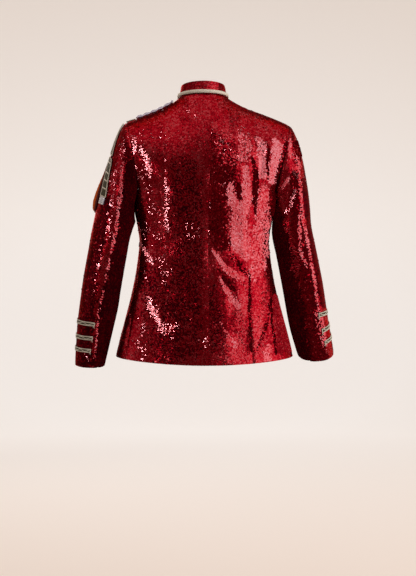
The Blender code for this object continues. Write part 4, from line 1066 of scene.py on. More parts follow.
def rope_parts(points, outs, cord, closed=False, step=0.0011, sides=6):
    """A twisted rope laid flat: its strands wind round one another inside an oval."""
    half_out, half_side, turn_length, strands = cord
    path, length = resample(points, step, closed)
    nearest = np.argmin(((path[:, None] - np.asarray(points, float)[None]) ** 2).sum(2), 1)
    out = np.asarray(outs, float)[nearest]
    for _ in range(6):
        if closed:
            out = (np.roll(out, 1, 0) + out * 2 + np.roll(out, -1, 0)) / 4
        else:
            out[1:-1] = (out[:-2] + out[1:-1] * 2 + out[2:]) / 4
    _, out, side = path_ways(path, out, closed)
    turns = max(1, round(length / turn_length))
    along = np.arange(len(path)) / (len(path) if closed else len(path) - 1)
    parts = []
    for strand in range(strands):
        phase = math.tau * (turns * along + strand / strands)[:, None]
        swing = out * np.cos(phase) * half_out + side * np.sin(phase) * half_side
        sizes = (half_out * STRAND_SIZE, half_side * STRAND_SIZE)
        parts.append(tube_parts(path + swing * STRAND_AWAY, out, *sizes, sides, closed))
    return join_parts(parts)


def smooth_noise(x, y, seed):
    """Even, smooth noise from -1 to 1 with cells of size 1."""
    lattice = np.random.default_rng(seed).uniform(-1, 1, (256, 256))
    i, j = np.floor(x).astype(int), np.floor(y).astype(int)
    u, v = x - i, y - j
    u, v = u * u * (3 - 2 * u), v * v * (3 - 2 * v)

    def line(b):
        return lattice[i % 256, (j + b) % 256] * (1 - u) + lattice[(i + 1) % 256, (j + b) % 256] * u

    return line(0) * (1 - v) + line(1) * v


# Cloth panels
class Panel:
    """A piece of cloth on a grid: its surface's places, points and outward ways, and the cells it fills.

    grid holds the columns and the rows, and metres the lengths of their units. middle gives a place inside
    the piece at a height, which the outward ways turn away from. place moves a column in a row, and keep
    says which cells hold cloth.
    """

    def __init__(self, name, side, grid, metres, middle, point, place=None, keep=None):
        self.name, self.side, self.metres = name, side, metres
        self.kind = next((word for word in ("sleeve", "collar") if word in name), "body")
        columns, rows = grid
        self.columns, self.rows = np.array(columns), np.array(rows)
        pairs = [[place(column, row) if place else (column, row) for row in rows] for column in columns]
        self.x, self.y = np.moveaxis(np.array(pairs), 2, 0)
        self.points = np.array([[tuple(point(*pair)) for pair in line] for line in pairs])
        middles = [[(a + b) / 2 for a, b in zip(values, values[1:])] for values in grid]
        self.kept = np.array([[keep is None or keep(a, b) for b in middles[1]] for a in middles[0]])
        self.facing = 1.0
        self.normals = self.read_normals()
        inside = np.array([[tuple(middle(z)) for z in line] for line in self.points[:, :, 2]])
        self.facing = 1.0 if ((self.points - inside) * self.normals).sum() > 0 else -1.0
        self.normals = self.normals * self.facing

    def read_normals(self):
        across, along = np.gradient(self.points, axis=0), np.gradient(self.points, axis=1)
        return unit(np.cross(along, across)) * self.facing

    def noise(self, x, y, across, along, seed):
        """Smooth noise over the cloth, with cells that are so many metres wide and long."""
        return smooth_noise(x * self.metres[0] / across, y * self.metres[1] / along, seed)

    def press(self, depth):
        self.points = self.points - self.normals * depth[:, :, None]
        self.normals = self.read_normals()

    def round_corner(self, share):
        """Smooths the crease that runs down the yoke from where its edge turns at the neck."""
        hold = np.exp(-(((self.x - share) / CORNER_WIDTH) ** 2))
        hold = hold * np.clip((self.y - 1) * 4, 0, 1) * np.clip((2 - self.y) * 8, 0, 1)
        for _ in range(CORNER_ROUNDS):
            middle = (self.points[2:] + self.points[:-2]) / 2
            self.points[1:-1] += (middle - self.points[1:-1]) * hold[1:-1, :, None]
        self.normals = self.read_normals()

    def seam_distance(self, line):
        """Metres from each point to a line, or 1 where the whole line is far away."""
        flat = self.points.reshape(-1, 3)
        best = np.full(len(flat), 1.0)
        low, high = flat.min(0) - SEAM_REACH, flat.max(0) + SEAM_REACH
        near = line[within(line, low, high).all(1)]
        for start in range(0, len(flat) if len(near) else 0, 2000):
            block = flat[start : start + 2000, None] - near[None]
            best[start : start + 2000] = np.sqrt((block**2).sum(2).min(1))
        return best.reshape(self.points.shape[:2])

    def shell(self, materials, wall, turned_in):
        """The closed shell. The first material is outside and on rows turned in, the second on the rest."""
        nu, nv = self.points.shape[:2]
        used = np.zeros((nu, nv), bool)
        for a in (0, 1):
            for b in (0, 1):
                used[a : nu - 1 + a, b : nv - 1 + b] |= self.kept
        index = np.cumsum(used.ravel()).reshape(nu, nv) - 1
        count = int(used.sum())
        outer = self.points[used]
        inner = outer - self.normals[used] * wall
        faces, marks = [], []
        cells = set(zip(*np.nonzero(self.kept)))
        flip = self.facing > 0
        for i, j in sorted(cells):
            corners = [(i, j), (i + 1, j), (i + 1, j + 1), (i, j + 1)]
            loop = [int(index[c]) for c in corners]
            faces.append(tuple(loop if not flip else loop[::-1]))
            faces.append(tuple(v + count for v in (loop[::-1] if not flip else loop)))
            marks += [0, 0 if turned_in[0] < self.rows[j] < turned_in[1] else 1]
            for k, beyond in enumerate(((i, j - 1), (i + 1, j), (i, j + 1), (i - 1, j))):
                if beyond not in cells:
                    a, b = loop[k], loop[(k + 1) % 4]
                    rim = (b, a, a + count, b + count)
                    faces.append(rim if not flip else rim[::-1])
                    marks.append(0)
        return add_mesh(f"cloth_{self.name}", np.concatenate([outer, inner]), faces, materials, marks)

    def cloth_area(self):
        p = self.points
        a = np.linalg.norm(np.cross(p[1:, :-1] - p[:-1, :-1], p[:-1, 1:] - p[:-1, :-1]), axis=2)
        b = np.linalg.norm(np.cross(p[1:, :-1] - p[1:, 1:], p[:-1, 1:] - p[1:, 1:]), axis=2)
        return float((((a + b) / 2) * self.kept).sum())

    def cloth_size(self):
        """The cut's width and length: its widest row and its longest column."""
        across = np.linalg.norm(np.diff(self.points, axis=0), axis=2)
        along = np.linalg.norm(np.diff(self.points, axis=1), axis=2)
        width = (across[:, :-1] * self.kept).sum(0).max()
        length = (along[:-1] * self.kept).sum(1).max()
        return float(width), float(length)

    def cell_of(self, u, v):
        return tuple(np.clip(w.astype(int), 0, n - 1) for w, n in zip((u, v), self.kept.shape))

    def sample(self, values, u, v):
        """Values of the grid at fractional column and row numbers."""
        i, j = self.cell_of(u, v)
        a, b = u - i, v - j
        if values.ndim == 3:
            a, b = a[:, None], b[:, None]
        low = values[i, j] * (1 - a) + values[i + 1, j] * a
        high = values[i, j + 1] * (1 - a) + values[i + 1, j + 1] * a
        return low * (1 - b) + high * b

    def sequin_places(self, clear):
        """Fractional column and row numbers of the sequins, in rows each half a pitch from the last."""
        run = np.mean([run_along(self.points[i]) for i in (1, len(self.columns) // 2, -2)], 0)
        count = int(run[-1] / (PITCH * ROW_PITCH))
        us, vs = [], []
        for k in range(count + 1):
            v = np.interp((k + 0.5) * run[-1] / (count + 1), run, np.arange(len(run)))
            j = min(int(v), len(self.rows) - 2)
            line = self.points[:, j] * (1 - (v - j)) + self.points[:, j + 1] * (v - j)
            across = run_along(line)
            number = max(2, int(across[-1] / PITCH))
            at = (np.arange(number) + 0.25 + 0.5 * (k % 2)) * across[-1] / number
            us.append(np.interp(at, across, np.arange(len(across))))
            vs.append(np.full(number, v))
        u, v = np.concatenate(us), np.concatenate(vs)
        keep = self.kept[self.cell_of(u, v)]
        keep = keep & (self.sample(clear, u, v) > EDGE_CLEAR) & (self.sample(self.y, u, v) >= 0)
        return u[keep], v[keep]


def view_axes():
    """The photographer's place, and the ways back from the jacket and to the right."""
    back = np.array((math.sin(VIEW_TURN), math.cos(VIEW_TURN), 0.0))
    right = np.array((-back[1], back[0], 0.0))
    return back * VIEW_DISTANCE + right * VIEW_SHIFT + np.array((0, 0, VIEW_HEIGHT)), back, right


def nap_depth(shown, path, ragged):
    """The places near a mark's path, and how deep in it they are: 0 on the path and 1 at its edge."""
    path = np.array(path) / 1000
    run = run_along(path[:, :2])
    steps = np.linspace(0, run[-1], 2 + int(run[-1] / NAP_STEP))
    line = np.stack([np.interp(steps, run, path[:, k]) for k in range(3)], 1)
    low, high = line[:, :2].min(0) - NAP_REACH, line[:, :2].max(0) + NAP_REACH
    near = np.nonzero(within(shown, low, high).all(1))[0]
    gaps = np.linalg.norm(shown[near, None] - line[None, :, :2], axis=2)
    return near, gaps.min(1) / (line[gaps.argmin(1), 2] * ragged[near])


def lay_nap(panel, centre, normal, tilted, random):
    """Turns the sequins of the panel's marks. Returns their outward ways and the painted highlight or
    painted shade that changes their shade.
    """
    other_way = np.array((1.0, -1.0, 1.0))
    hidden = normal[:, 1:2] < 0
    at = np.where(hidden, centre * other_way, centre)
    place, back, right = view_axes()
    away = at - place
    shown = np.stack([away @ right, away[:, 2]], 1) * (-VIEW_DISTANCE / (away @ back))[:, None]
    ragged = 1 + RAGGED * smooth_noise(*(shown / RAGGED_SIZE + 90).T, 5)
    ragged += random.normal(0, RAGGED_SHAKE, len(at))
    turned, shade = tilted.copy(), np.zeros(len(at))
    for what, share, *path in NAP.get(f"{panel.kind} {panel.side}", ()):
        near, depth = nap_depth(shown, path, ragged)
        fade = np.clip(GLINT_FULL - depth / GLINT_WIDTH, 0, 1) ** 1.5 if what == "glint" else depth < 1
        chosen = near[random.random(len(near)) < share * fade]
        # painted highlight or painted shade on the mark's chosen sequins
        shade[chosen] = NAP_PAINTED_LIGHT.get(what, 0.0)
        if what in MIRRORED:
            goal = unit(np.array(MIRRORED[what]) - at[chosen]) + unit(place - at[chosen])
            goal = unit(goal) + random.normal(0, NAP_SHAKE.get(what, LEAST_SHAKE), (len(chosen), 3))
            goal = np.where(hidden[chosen], goal * other_way, goal)
            turned[chosen] = mix(tilted[chosen], goal, NAP_HOLD)
    return unit(turned), shade


def add_hexagons(name, corners, turn, shade, material):
    """One mesh of the sequins, each with a face of its own on its UV map."""
    count = len(corners)
    mesh = bpy.data.meshes.new(name)
    mesh.vertices.add(count * 6)
    mesh.vertices.foreach_set("co", corners.astype(np.float32).ravel())
    mesh.loops.add(count * 6)
    mesh.loops.foreach_set("vertex_index", np.arange(count * 6, dtype=np.int32))
    mesh.polygons.add(count)
    mesh.polygons.foreach_set("loop_start", np.arange(0, count * 6, 6, dtype=np.int32))
    mesh.polygons.foreach_set("loop_total", np.full(count, 6, np.int32))
    mesh.attributes.new("shade", "FLOAT", "FACE").data.foreach_set("value", shade.astype(np.float32))
    grid = math.ceil(math.sqrt(count))
    cell = np.stack([np.arange(count) % grid, np.arange(count) // grid], 1)[:, None] + 0.5
    spread = np.stack([np.cos(turn), np.sin(turn)], 1)[None] * 0.42
    places = ((cell + spread) / grid).astype(np.float32).ravel()
    mesh.uv_layers.new(name="OFBake").data.foreach_set("uv", places)
    mesh.materials.append(material)
    mesh.update(calc_edges=True)
    return add_object(name, mesh)


def sequins(panel, clear, bare, material, seed):
    """The panel's sequins. bare says which places are left without."""
    random = np.random.default_rng(seed)
    u, v = panel.sequin_places(clear)
    x, y = panel.sample(panel.x, u, v), panel.sample(panel.y, u, v)
    shown = ~bare(x, y)
    u, v, x, y = u[shown], v[shown], x[shown], y[shown]
    count = len(u)
    centre = panel.sample(panel.points, u, v)
    normal = unit(panel.sample(panel.normals, u, v))
    down = unit(np.array([0.0, 0.0, -1.0]) + normal * normal[:, 2:3])
    across = np.cross(normal, down)
    patch = panel.noise(x, y, *PATCH_SIZE, seed + 2)
    streak = panel.noise(x, y, *STREAK_SIZE, seed + 1)
    aside = random.normal(0, SHAKE, count) + STREAK * streak + PATCH * patch
    rise = SHINGLE + random.normal(0, SHAKE, count)
    loose = random.random(count) < LOOSE_SHARE
    for tilt in (aside, rise):
        tilt[loose] += random.normal(0, LOOSE_SHAKE, loose.sum())
    rise, aside = (
        np.tan(np.radians(np.clip(tilt, -MOST_TILT, MOST_TILT)))[:, None] for tilt in (rise, aside)
    )
    tilted = unit(normal - down * rise + across * aside)
    tilted, shade = lay_nap(panel, centre, normal, tilted, random)
    first = unit(down - tilted * (down * tilted).sum(1, keepdims=True))
    second = np.cross(tilted, first)
    radius = SEQUIN_RADIUS * random.uniform(*RADIUS_SPREAD, count)[:, None]
    turn = np.radians(30 + 60 * np.arange(6))
    angles = turn[None] + random.uniform(0, math.pi / 3, count)[:, None]
    corners = (
        (centre + normal * SEQUIN_LIFT)[:, None]
        + first[:, None] * (np.cos(angles) * radius)[:, :, None]
        + second[:, None] * (np.sin(angles) * radius)[:, :, None]
    )
    # the shade: each sequin's own random tone and its patch's, plus the nap's painted highlight and painted
    # shade
    shade = np.clip(SHADE + shade + random.normal(0, SHADE_SHAKE, count) + SHADE_PATCH * patch, 0, 1)
    return add_hexagons(f"sequins_{panel.name}", corners, turn, shade, material)


def fine(values, size):
    """More columns or rows between given ones, so that none is further than size from the next."""
    made = [values[0][0]]
    for (a, at_a), (b, at_b) in zip(values, values[1:]):
        steps = max(1, math.ceil(abs(at_b - at_a) / size))
        made += [mix(a, b, k / steps) for k in range(1, steps + 1)]
    return made


def line_points(point, places, step=0.0012):
    """A line of the surface, through places, as closely spaced points."""
    return resample([tuple(point(*place)) for place in places], step)[0]


def seam_lines(side):
    """The lines along which this side's pieces are sewn, and its open edges."""
    on_body, on_sleeve = partial(smooth_body, side), partial(smooth_sleeve, side)
    rows = between(0.0, 1.0, 60)
    high = between(1.0, 2.0, 50)
    lines = {
        "centre": [(0.0, row) for row in rows + high],
        "princess": [(mix(lower_seams(row)[0], PRINCESS_END, ease(row)), row) for row in rows]
        + [(PRINCESS_END, row) for row in high],
        "side": [(lower_seams(row)[1], row) for row in rows],
        "armhole": [(ARMHOLE_BACK, row) for row in reversed(high)]
        + [(share, 1.0) for share in between(ARMHOLE_BACK, ARMHOLE_FRONT, 40)]
        + [(ARMHOLE_FRONT, row) for row in high],
        "shoulder": [(share, 2.0) for share in between(NECK_END_BACK, ARMHOLE_BACK, 40)],
        "neck": [(share, 2.0) for share in between(0, NECK_END_BACK, 20)],
        "hem": [(share, 0.0) for share in between(0, 1, 80)],
    }
    made = {name: line_points(on_body, places) for name, places in lines.items()}
    front_neck = between(1.0, NECK_END_FRONT, 20)
    made["neck"] = np.vstack([made["neck"], line_points(on_body, [(share, 2.0) for share in front_neck])])
    down = between(0.0, 2.0, 100)
    made["hind"] = line_points(on_sleeve, [(HIND_SEAM, row) for row in down])
    made["fore"] = line_points(on_sleeve, [(FORE_SEAM, row) for row in down])
    made["cuff"] = line_points(on_sleeve, [(degrees, 2.0) for degrees in between(0, 360, 60)])
    return made


# How each line draws the cloth in: its depth and how far that reaches
SEAM_DIPS = {
    "centre": (0.0004, 0.0024),
    "princess": (0.0014, 0.0032),
    "side": (0.0014, 0.0032),
    "armhole": (0.0020, 0.0045),
    "shoulder": (0.0008, 0.0030),
    "neck": (0.0, 0.0030),
    "hem": (0.0006, 0.0020),
    "hind": (0.0010, 0.0030),
    "fore": (0.0010, 0.0030),
    "cuff": (0.0006, 0.0020),
}
PUCKER = 0.0006  # unevenness of the cloth beside a seam
PUCKER_SIZE, PUCKER_REACH = 0.011, 0.0120


def settle(panel, lines, depth):
    """Presses the panel's folds and seams in, and returns how far each point is from a seam or an edge."""
    panel.press(depth - SHELL_LIFT)
    total = np.zeros(panel.points.shape[:2])
    clear = np.full(total.shape, 1.0)
    for name, line in lines.items():
        away = panel.seam_distance(line)
        most, reach = SEAM_DIPS[name]
        total += most * np.exp(-((away / reach) ** 2))
        ripple = panel.noise(panel.x, panel.y, PUCKER_SIZE, PUCKER_SIZE, len(name))
        total += PUCKER * ripple * np.exp(-((away / PUCKER_REACH) ** 2)) * (most > 0)
        clear = np.minimum(clear, away)
    panel.press(total)
    return clear


def body_panels():
    """The six panels of the body, with the columns, seams and yokes of their solids."""

    def back_seams(row):
        return (0.0, mix(lower_seams(row)[0], PRINCESS_END, ease(row)))

    def side_back_seams(row):
        return (back_seams(row)[1], lower_seams(row)[1])

    def front_seams(row):
        return (lower_seams(row)[1], 1.0)

    def left_front_lift(column):
        return LAP_LIFT * ease((column * GIRTH - (GIRTH - LAP - LAP_RAMP)) / LAP_RAMP)

    lower = [(0.0, 0.0), (1.0, ROW_LENGTH)]
    upper = [(1.0, 0.0), (2.0, YOKE_LENGTH)]
    rows = fine(lower, CELL) + fine(upper, CELL)[1:]
    shapes = (
        # name, the shares where a column must lie, seams, yoke, lapped
        ("back", (0.0, PRINCESS_END), back_seams, (0, 1), False),
        ("side_back", (PRINCESS_END, ARMHOLE_BACK, SIDE_TOP), side_back_seams, (0, ARMHOLE_BACK), False),
        ("front", (SIDE_TOP, ARMHOLE_FRONT, 1.0), front_seams, (ARMHOLE_FRONT, 2), True),
    )
    made = []
    for side in ("left", "right"):
        for name, marks, seams, yoke, lapped in shapes:
            columns = fine([(mark, mark * GIRTH) for mark in marks], CELL)
            first, last = columns[0], columns[-1]
            if lapped:
                columns += [1 + LAP * k / 3 / GIRTH for k in (1, 2, 3)]

            def place(column, row, seams=seams, first=first, last=last, lapped=lapped):
                share = column
                if row < 1 and column <= 1:
                    share = mix(*seams(row), (column - first) / (last - first))
                return share, row

            panel = Panel(
                f"{name}_{side}",
                side,
                (columns, rows),
                (GIRTH, ROW_LENGTH),
                lambda z: (read_row(SWAY, z)[1], 0.0, z - 0.02),
                partial(smooth_body, side),
                place,
                lambda column, row, yoke=yoke: row < 1 or yoke[0] < column < yoke[1],
            )
            panel.round_corner(NECK_END_FRONT if lapped else NECK_END_BACK)
            if lapped and side == "left":
                lift = np.array([left_front_lift(column) for column in columns])
                panel.press(np.repeat(-lift[:, None], len(rows), 1))
            made.append(panel)
    return made


def sleeve_panels():
    """The two panels of each sleeve, from seam to seam."""
    made = []
    rows = [FLANGE_ROW] + fine([(0.0, 0.0), (1.0, 0.26)], CELL)
    rows += fine([(1.0, 0.0), (2.0, SLEEVE_ROW_LENGTH)], CELL)[1:]
    metres = (math.radians(SLEEVE_RADIUS), SLEEVE_ROW_LENGTH)
    for side in ("left", "right"):

        def middle(z, side=side):
            z = min(z, SLEEVES[side][0][2])
            x, y = read_row(SLEEVES[side], z, key=2)[:2]
            return (x if side == "left" else -x), y, z

        point = partial(smooth_sleeve, side)
        for name, *seams in SLEEVE_CUTS:
            columns = fine([(seam, math.radians(seam) * SLEEVE_RADIUS) for seam in seams], CELL)
            made.append(Panel(f"{name}_{side}", side, (columns, rows), metres, middle, point))
    return made


def collar_panel():
    angles = between(270 - COLLAR_OPENING, -90 + COLLAR_OPENING, 72)
    grid = (angles, [COLLAR_FOOT] + between(0.0, 1.0, 7))
    metres = (math.radians(NECK_HALF_WIDTH), COLLAR_HEIGHT_BACK)
    return Panel("collar", "left", grid, metres, lambda z: (0.003, 0.0, z), collar_point)


# Where trim lies, the panel under it has no sequins
def sleeve_bare(side):
    bars = [bar[2:] for bar in CUFF_BARS if bar[0] == side]
    rows, run = outer_line(side, True)
    heights = (np.array(rows[::-1]), np.array(run[::-1]))
    down_rows, down_run = outer_line(side, False)
    strap = np.array([read_row(STRAP_PATH, along) for along in between(0.0, TIP_ALONG[1], 60)])

    def bare(degrees, row):
        degrees = (degrees + 180) % 360 - 180
        up = np.interp(row, heights[0], heights[1])
        covered = np.zeros(len(degrees), bool)
        for rise, lean, low, high in bars:
            middle = rise + lean * np.maximum(degrees, 0.0) / high
            covered |= (np.abs(up - middle) < BAR_HEIGHT / 2) & within(degrees, low, high)
        if side == "left":
            along = np.interp(row, down_rows, down_run)
            centre = np.interp(along, strap[:, 0], strap[:, 1])
            half = np.degrees(np.interp(along, strap[:, 0], strap[:, 2]) / SLEEVE_RADIUS)
            reached = within(along, STRAP_PATH[0][0], TIP_ALONG[1])
            covered |= reached & (np.abs(degrees - centre) < half)
            t = (along - TAB_ALONG[0]) / (TAB_ALONG[1] - TAB_ALONG[0])
            covered |= within(t, *TAB_BARE) & within(degrees, *TAB_BARE_DEGREES)
        return covered

    return bare


def body_bare(side):
    def bare(share, row):
        if side == "right":
            return np.zeros(len(share), bool)
        step = np.where(
            share < 0.5,
            (share - NECK_END_BACK) / (ARMHOLE_BACK - NECK_END_BACK),
            ((1 - share) / (1 - ARMHOLE_FRONT) - NECK_SHARE_FRONT) / (1 - NECK_SHARE_FRONT),
        )
        down = (2 - row) * YOKE_LENGTH
        reach = np.where(share < 0.5, -STRIP_ACROSS[0], STRIP_ACROSS[1])
        strap = np.where(share < 0.5, -STRAP_ACROSS[0], STRAP_ACROSS[1])
        covered = within(step, STRIP_FROM, STRIP_TO) & (down < reach)
        return covered | (within(step, STRAP_FROM, STRAP_TO) & (down < strap))

    return bare


def collar_bare(_side):
    rise = (NECK_CORD_RISE - COLLAR_LIFT + 2 * NECK_CORD_HALF_HEIGHT) / COLLAR_HEIGHT_BACK
    return lambda angle, share: share < rise


# The seams that draw each kind of cloth in, its bare places, and the rows of its turned-in cloth
CLOTH = {
    "body": (("centre", "princess", "side", "armhole", "shoulder", "neck", "hem"), body_bare, (-1.0, 0.09)),
    "sleeve": (("armhole", "hind", "fore", "cuff"), sleeve_bare, (1.90, 3.0)),
    "collar": ((), collar_bare, (-1.0, 3.0)),
}


def panel_depth(panel):
    if panel.kind == "body":
        return torso_depth(panel.side, panel.x, panel.y)
    if panel.kind == "sleeve":
        return sleeve_depth(panel.side, panel.x, panel.y)
    return np.zeros(panel.x.shape)


def make_cloth(looks):
    """Every panel's shell and sequins."""
    lines = {side: seam_lines(side) for side in ("left", "right")}
    for k, panel in enumerate(body_panels() + sleeve_panels() + [collar_panel()]):
        seams, bare, turned_in = CLOTH[panel.kind]
        clear = settle(panel, {name: lines[panel.side][name] for name in seams}, panel_depth(panel))
        wall = COLLAR_SHELL_WALL if panel.kind == "collar" else SHELL_WALL
        shell = panel.shell([looks["ground"], looks["lining"]], wall, turned_in)
        solids = [panel.name]
        if panel.name.startswith("top_sleeve"):
            solids = [f"top_sleeve_{part}_{panel.side}" for part in ("head", "arm", "cuff")]
        dress(shell, "sequin_cloth", *solids)
        width, length = panel.cloth_size()
        min(panel.cloth_area(), width * length)
        made = sequins(panel, clear, bare(panel.side), looks["sequins"], SEED + 10 * k)
        dress(made, "sequin_cloth")


# Trim
def on_surface(surface, places, lift):
    """Points of a surface at some places, and the outward ways there."""
    points = np.array([surface(*place, lift) for place in places])
    return points, unit(np.array([surface(*place, lift + 0.001) for place in places]) - points)


def loop_of(surface, columns, rows, lift, steps):
    """The closed path round a rectangle of a surface, and the outward ways along it."""
    (a, b), (c, d) = columns, rows
    corners = [(a, c), (b, c), (b, d), (a, d)]
    places = []
    for (x0, y0), (x1, y1) in zip(corners, corners[1:] + corners[:1]):
        places += [(mix(x0, x1, k / steps), mix(y0, y1, k / steps)) for k in range(steps)]
    return on_surface(surface, places, lift)


def slab_parts(us, vs, wall_at):
    """A closed slab over a grid of places. wall_at gives its outer and inner point at each."""
    pairs = [wall_at(i, u, j, v) for i, u in enumerate(us) for j, v in enumerate(vs)]
    points = [outer for outer, _ in pairs] + [inner for _, inner in pairs]
    line, count = len(vs), len(pairs)
    faces = []
    for i in range(len(us) - 1):
        for j in range(line - 1):
            a, d = i * line + j, i * line + j + 1
            b, c = a + line, d + line
            faces += [(a, b, c, d), (d + count, c + count, b + count, a + count)]
    rim = [i * line for i in range(len(us))] + [(len(us) - 1) * line + j for j in range(1, line)]
    rim += [i * line + line - 1 for i in range(len(us) - 2, -1, -1)] + list(range(line - 2, 0, -1))
    faces += [(b, a, a + count, b + count) for a, b in zip(rim, rim[1:] + rim[:1])]
    return points, faces


def pad(name, surface, columns, rows, lift, crown, wall, material, grid):
    """A thin crowned strip on a surface, closed all round."""

    def wall_at(i, u, j, v):
        round_over = math.sin(math.pi * j / grid[1]) ** 0.5 if 0 < j < grid[1] else 0.0
        ends = min(1.0, 0.5 + min(i, grid[0] - i) / 2)
        return surface(u, v, lift + wall + crown * round_over * ends), surface(u, v, lift)

    parts = slab_parts(between(*columns, grid[0]), between(*rows, grid[1]), wall_at)
    return add_mesh(name, *parts, [material])


def zigzag(surface, columns, rows, lift):
    """A thread that swings between two rows along a strip."""
    times = between(0.0, 1.0, ZIGZAG_WAVES * 8)
    swing = [(t, 0.5 + 0.5 * math.cos(math.tau * ZIGZAG_WAVES * t)) for t in times]
    path, outs = on_surface(surface, [(mix(*columns, t), mix(*rows, side)) for t, side in swing], lift)
    return tube_parts(path, outs, ZIGZAG_RADIUS * 0.8, ZIGZAG_RADIUS, 5)


def make_neck_cord(looks):
    angles = between(270 - 2 * COLLAR_OPENING, -90 + 2 * COLLAR_OPENING, 120)
    outs = np.array([neck_outward(angle) for angle in angles])
    rise = NECK_CORD_RISE + NECK_CORD_HALF_HEIGHT
    reach = NECK_CORD_HALF_WALL + NECK_CORD_GAP - COLLAR_LEAN * rise / COLLAR_HEIGHT_SIDE
    path = np.array([round_neck(angle) for angle in angles]) + outs * reach + np.array((0, 0, rise))
    parts = rope_parts(path, outs, NECK_CORD, sides=8)
    dress(add_mesh("collar_cord", *parts, [looks["gold"]]), "gold_braid", "neck_cord")


def make_cuff_bars(looks):
    """Each bar is a corded frame, a dark braid inside it, a zigzag thread and loose thread ends."""
    edge = BAR_HEIGHT / 2 - BAR_BORDER / 2
    turn = math.degrees(BAR_BORDER / 2 / CUFF_RADIUS)
    for side, number, rise, lean, low, high in CUFF_BARS:
        name = f"{side}_{number}"

        def place(degrees, away, lift, side=side, rise=rise, lean=lean, high=high):
            here = rise + away + lean * max(degrees, 0.0) / high
            return sleeve_point(side, degrees, sleeve_row(side, here, from_cuff=True), lift)

        ends = (low + turn, high - turn)
        path, outs = loop_of(place, ends, (-edge, edge), BAR_CORD_LIFT, 16)
        cord = rope_parts(path, outs, BAR_CORD, closed=True)
        dress(add_mesh(f"bar_cord_{name}", *cord, [looks["gold"]]), "gold_braid", f"cuff_bar_{name}_frame")
        inside = (low + 2 * turn + 0.4, high - 2 * turn - 0.4)
        band = (-edge + BAR_BORDER / 2, edge - BAR_BORDER / 2)
        braid = (f"bar_braid_{name}", place, inside, band, TRIM_LIFT, BRAID_CROWN, BRAID_WALL)
        dress(pad(*braid, looks["dark"], (30, 4)), "dark_braid", f"cuff_bar_{name}_insert")
        threads = [zigzag(place, inside, (-ZIGZAG_SWING, ZIGZAG_SWING), THREAD_LIFT)]
        for end in ends:
            start = place(end, -edge, TAIL_LIFT)
            for aside, down in TAILS:
                tail = between(start, place(end + aside, -edge - down, TAIL_LIFT), 4)
                threads.append(tube_parts(tail, [outs[0]] * 5, TAIL_RADIUS, TAIL_RADIUS, 4))
        dress(add_mesh(f"bar_thread_{name}", *join_parts(threads), [looks["gold"]]), "gold_braid")


def make_shoulder_strip(looks):
    """A glossy ribbon gathered into waves along the shoulder seam."""

    def wall_at(_i, u, _j, v):
        phase = math.tau * RIBBON_WAVES * (u - STRIP_FROM) / (STRIP_TO - STRIP_FROM)
        side = (v - STRIP_ACROSS[0]) / (STRIP_ACROSS[1] - STRIP_ACROSS[0])
        arch = math.sin(math.pi * mix(0.06, 0.94, side)) ** 0.5
        lift = RIBBON_LIFT + RIBBON_ARCH * arch + RIBBON_WAVE * math.sin(phase + RIBBON_SKEW * side) * arch
        across = v + 0.0007 * math.sin(phase * 0.5) * (2 * side - 1)
        return shoulder_top(u, across, lift), shoulder_top(u, across, lift - RIBBON_WALL)

    parts = slab_parts(between(STRIP_FROM, STRIP_TO, 110), between(*STRIP_ACROSS, 10), wall_at)
    dress(add_mesh("wavy_ribbon", *parts, [looks["silver"]]), "silver_ribbon", "shoulder_strip")


def strap_place(along, share, lift):
    """A place of the strap on the sleeve: metres from the armhole and a share of its width."""
    _, middle, half_width = read_row(STRAP_PATH, along)
    reach = math.degrees(half_width / SLEEVE_RADIUS)
    degrees = mix(middle - reach, middle + reach, share)
    return sleeve_point("left", degrees, sleeve_row("left", along), lift)


def make_straps(looks):
    """Corded edges round a dark slot, which the lower length breaks with cross bars."""
    lengths = [("strap_shoulder", shoulder_top, (STRAP_FROM, STRAP_TO), STRAP_ACROSS, 0.010, 0.0020)]
    for k, span in enumerate(STRAP_BREAKS):
        lengths.append((f"strap_{k + 1}", strap_place, span, (0.0, 1.0), 0.0015, 0.10))
    for name, surface, span, across, end, edge in lengths:
        inside = (span[0] + end, span[1] - end), (across[0] + edge, across[1] - edge)
        parts = [rope_parts(*loop_of(surface, *inside, STRAP_CORD_LIFT, 18), STRAP_CORD, closed=True)]
        if surface is strap_place:
            shares = between(1.9 * edge, 1 - 1.9 * edge, 8)
            for along in CROSS_BARS:
                if span[0] < along < span[1]:
                    bar = on_surface(surface, [(along, share) for share in shares], CROSS_BAR_LIFT)
                    parts.append(tube_parts(*bar, 0.0012, 0.0018, 8))
        dress(add_mesh(f"{name}_cord", *join_parts(parts), [looks["gold"]]), "gold_braid", f"{name}_frame")
        slot = (f"{name}_slot", surface, *inside, SLOT_LIFT, 0.0005, 0.0008, looks["dark"], (24, 6))
        dress(pad(*slot), "dark_braid", f"{name}_insert")


def stone_parts(centre, out, first):
    """A clear eight-sided stone: its foot, its girdle and its flat top."""
    second = np.cross(out, first)
    points = []
    for rise, radius, turned in STONE_RINGS:
        for n in range(8):
            a = math.tau * (n + turned) / 8
            points.append(centre + out * rise + (first * math.cos(a) + second * math.sin(a)) * radius)
    faces = ring_faces(0, 8, 8) + ring_faces(8, 16, 8)
    return points, faces + [tuple(range(8))[::-1], tuple(range(16, 24))]


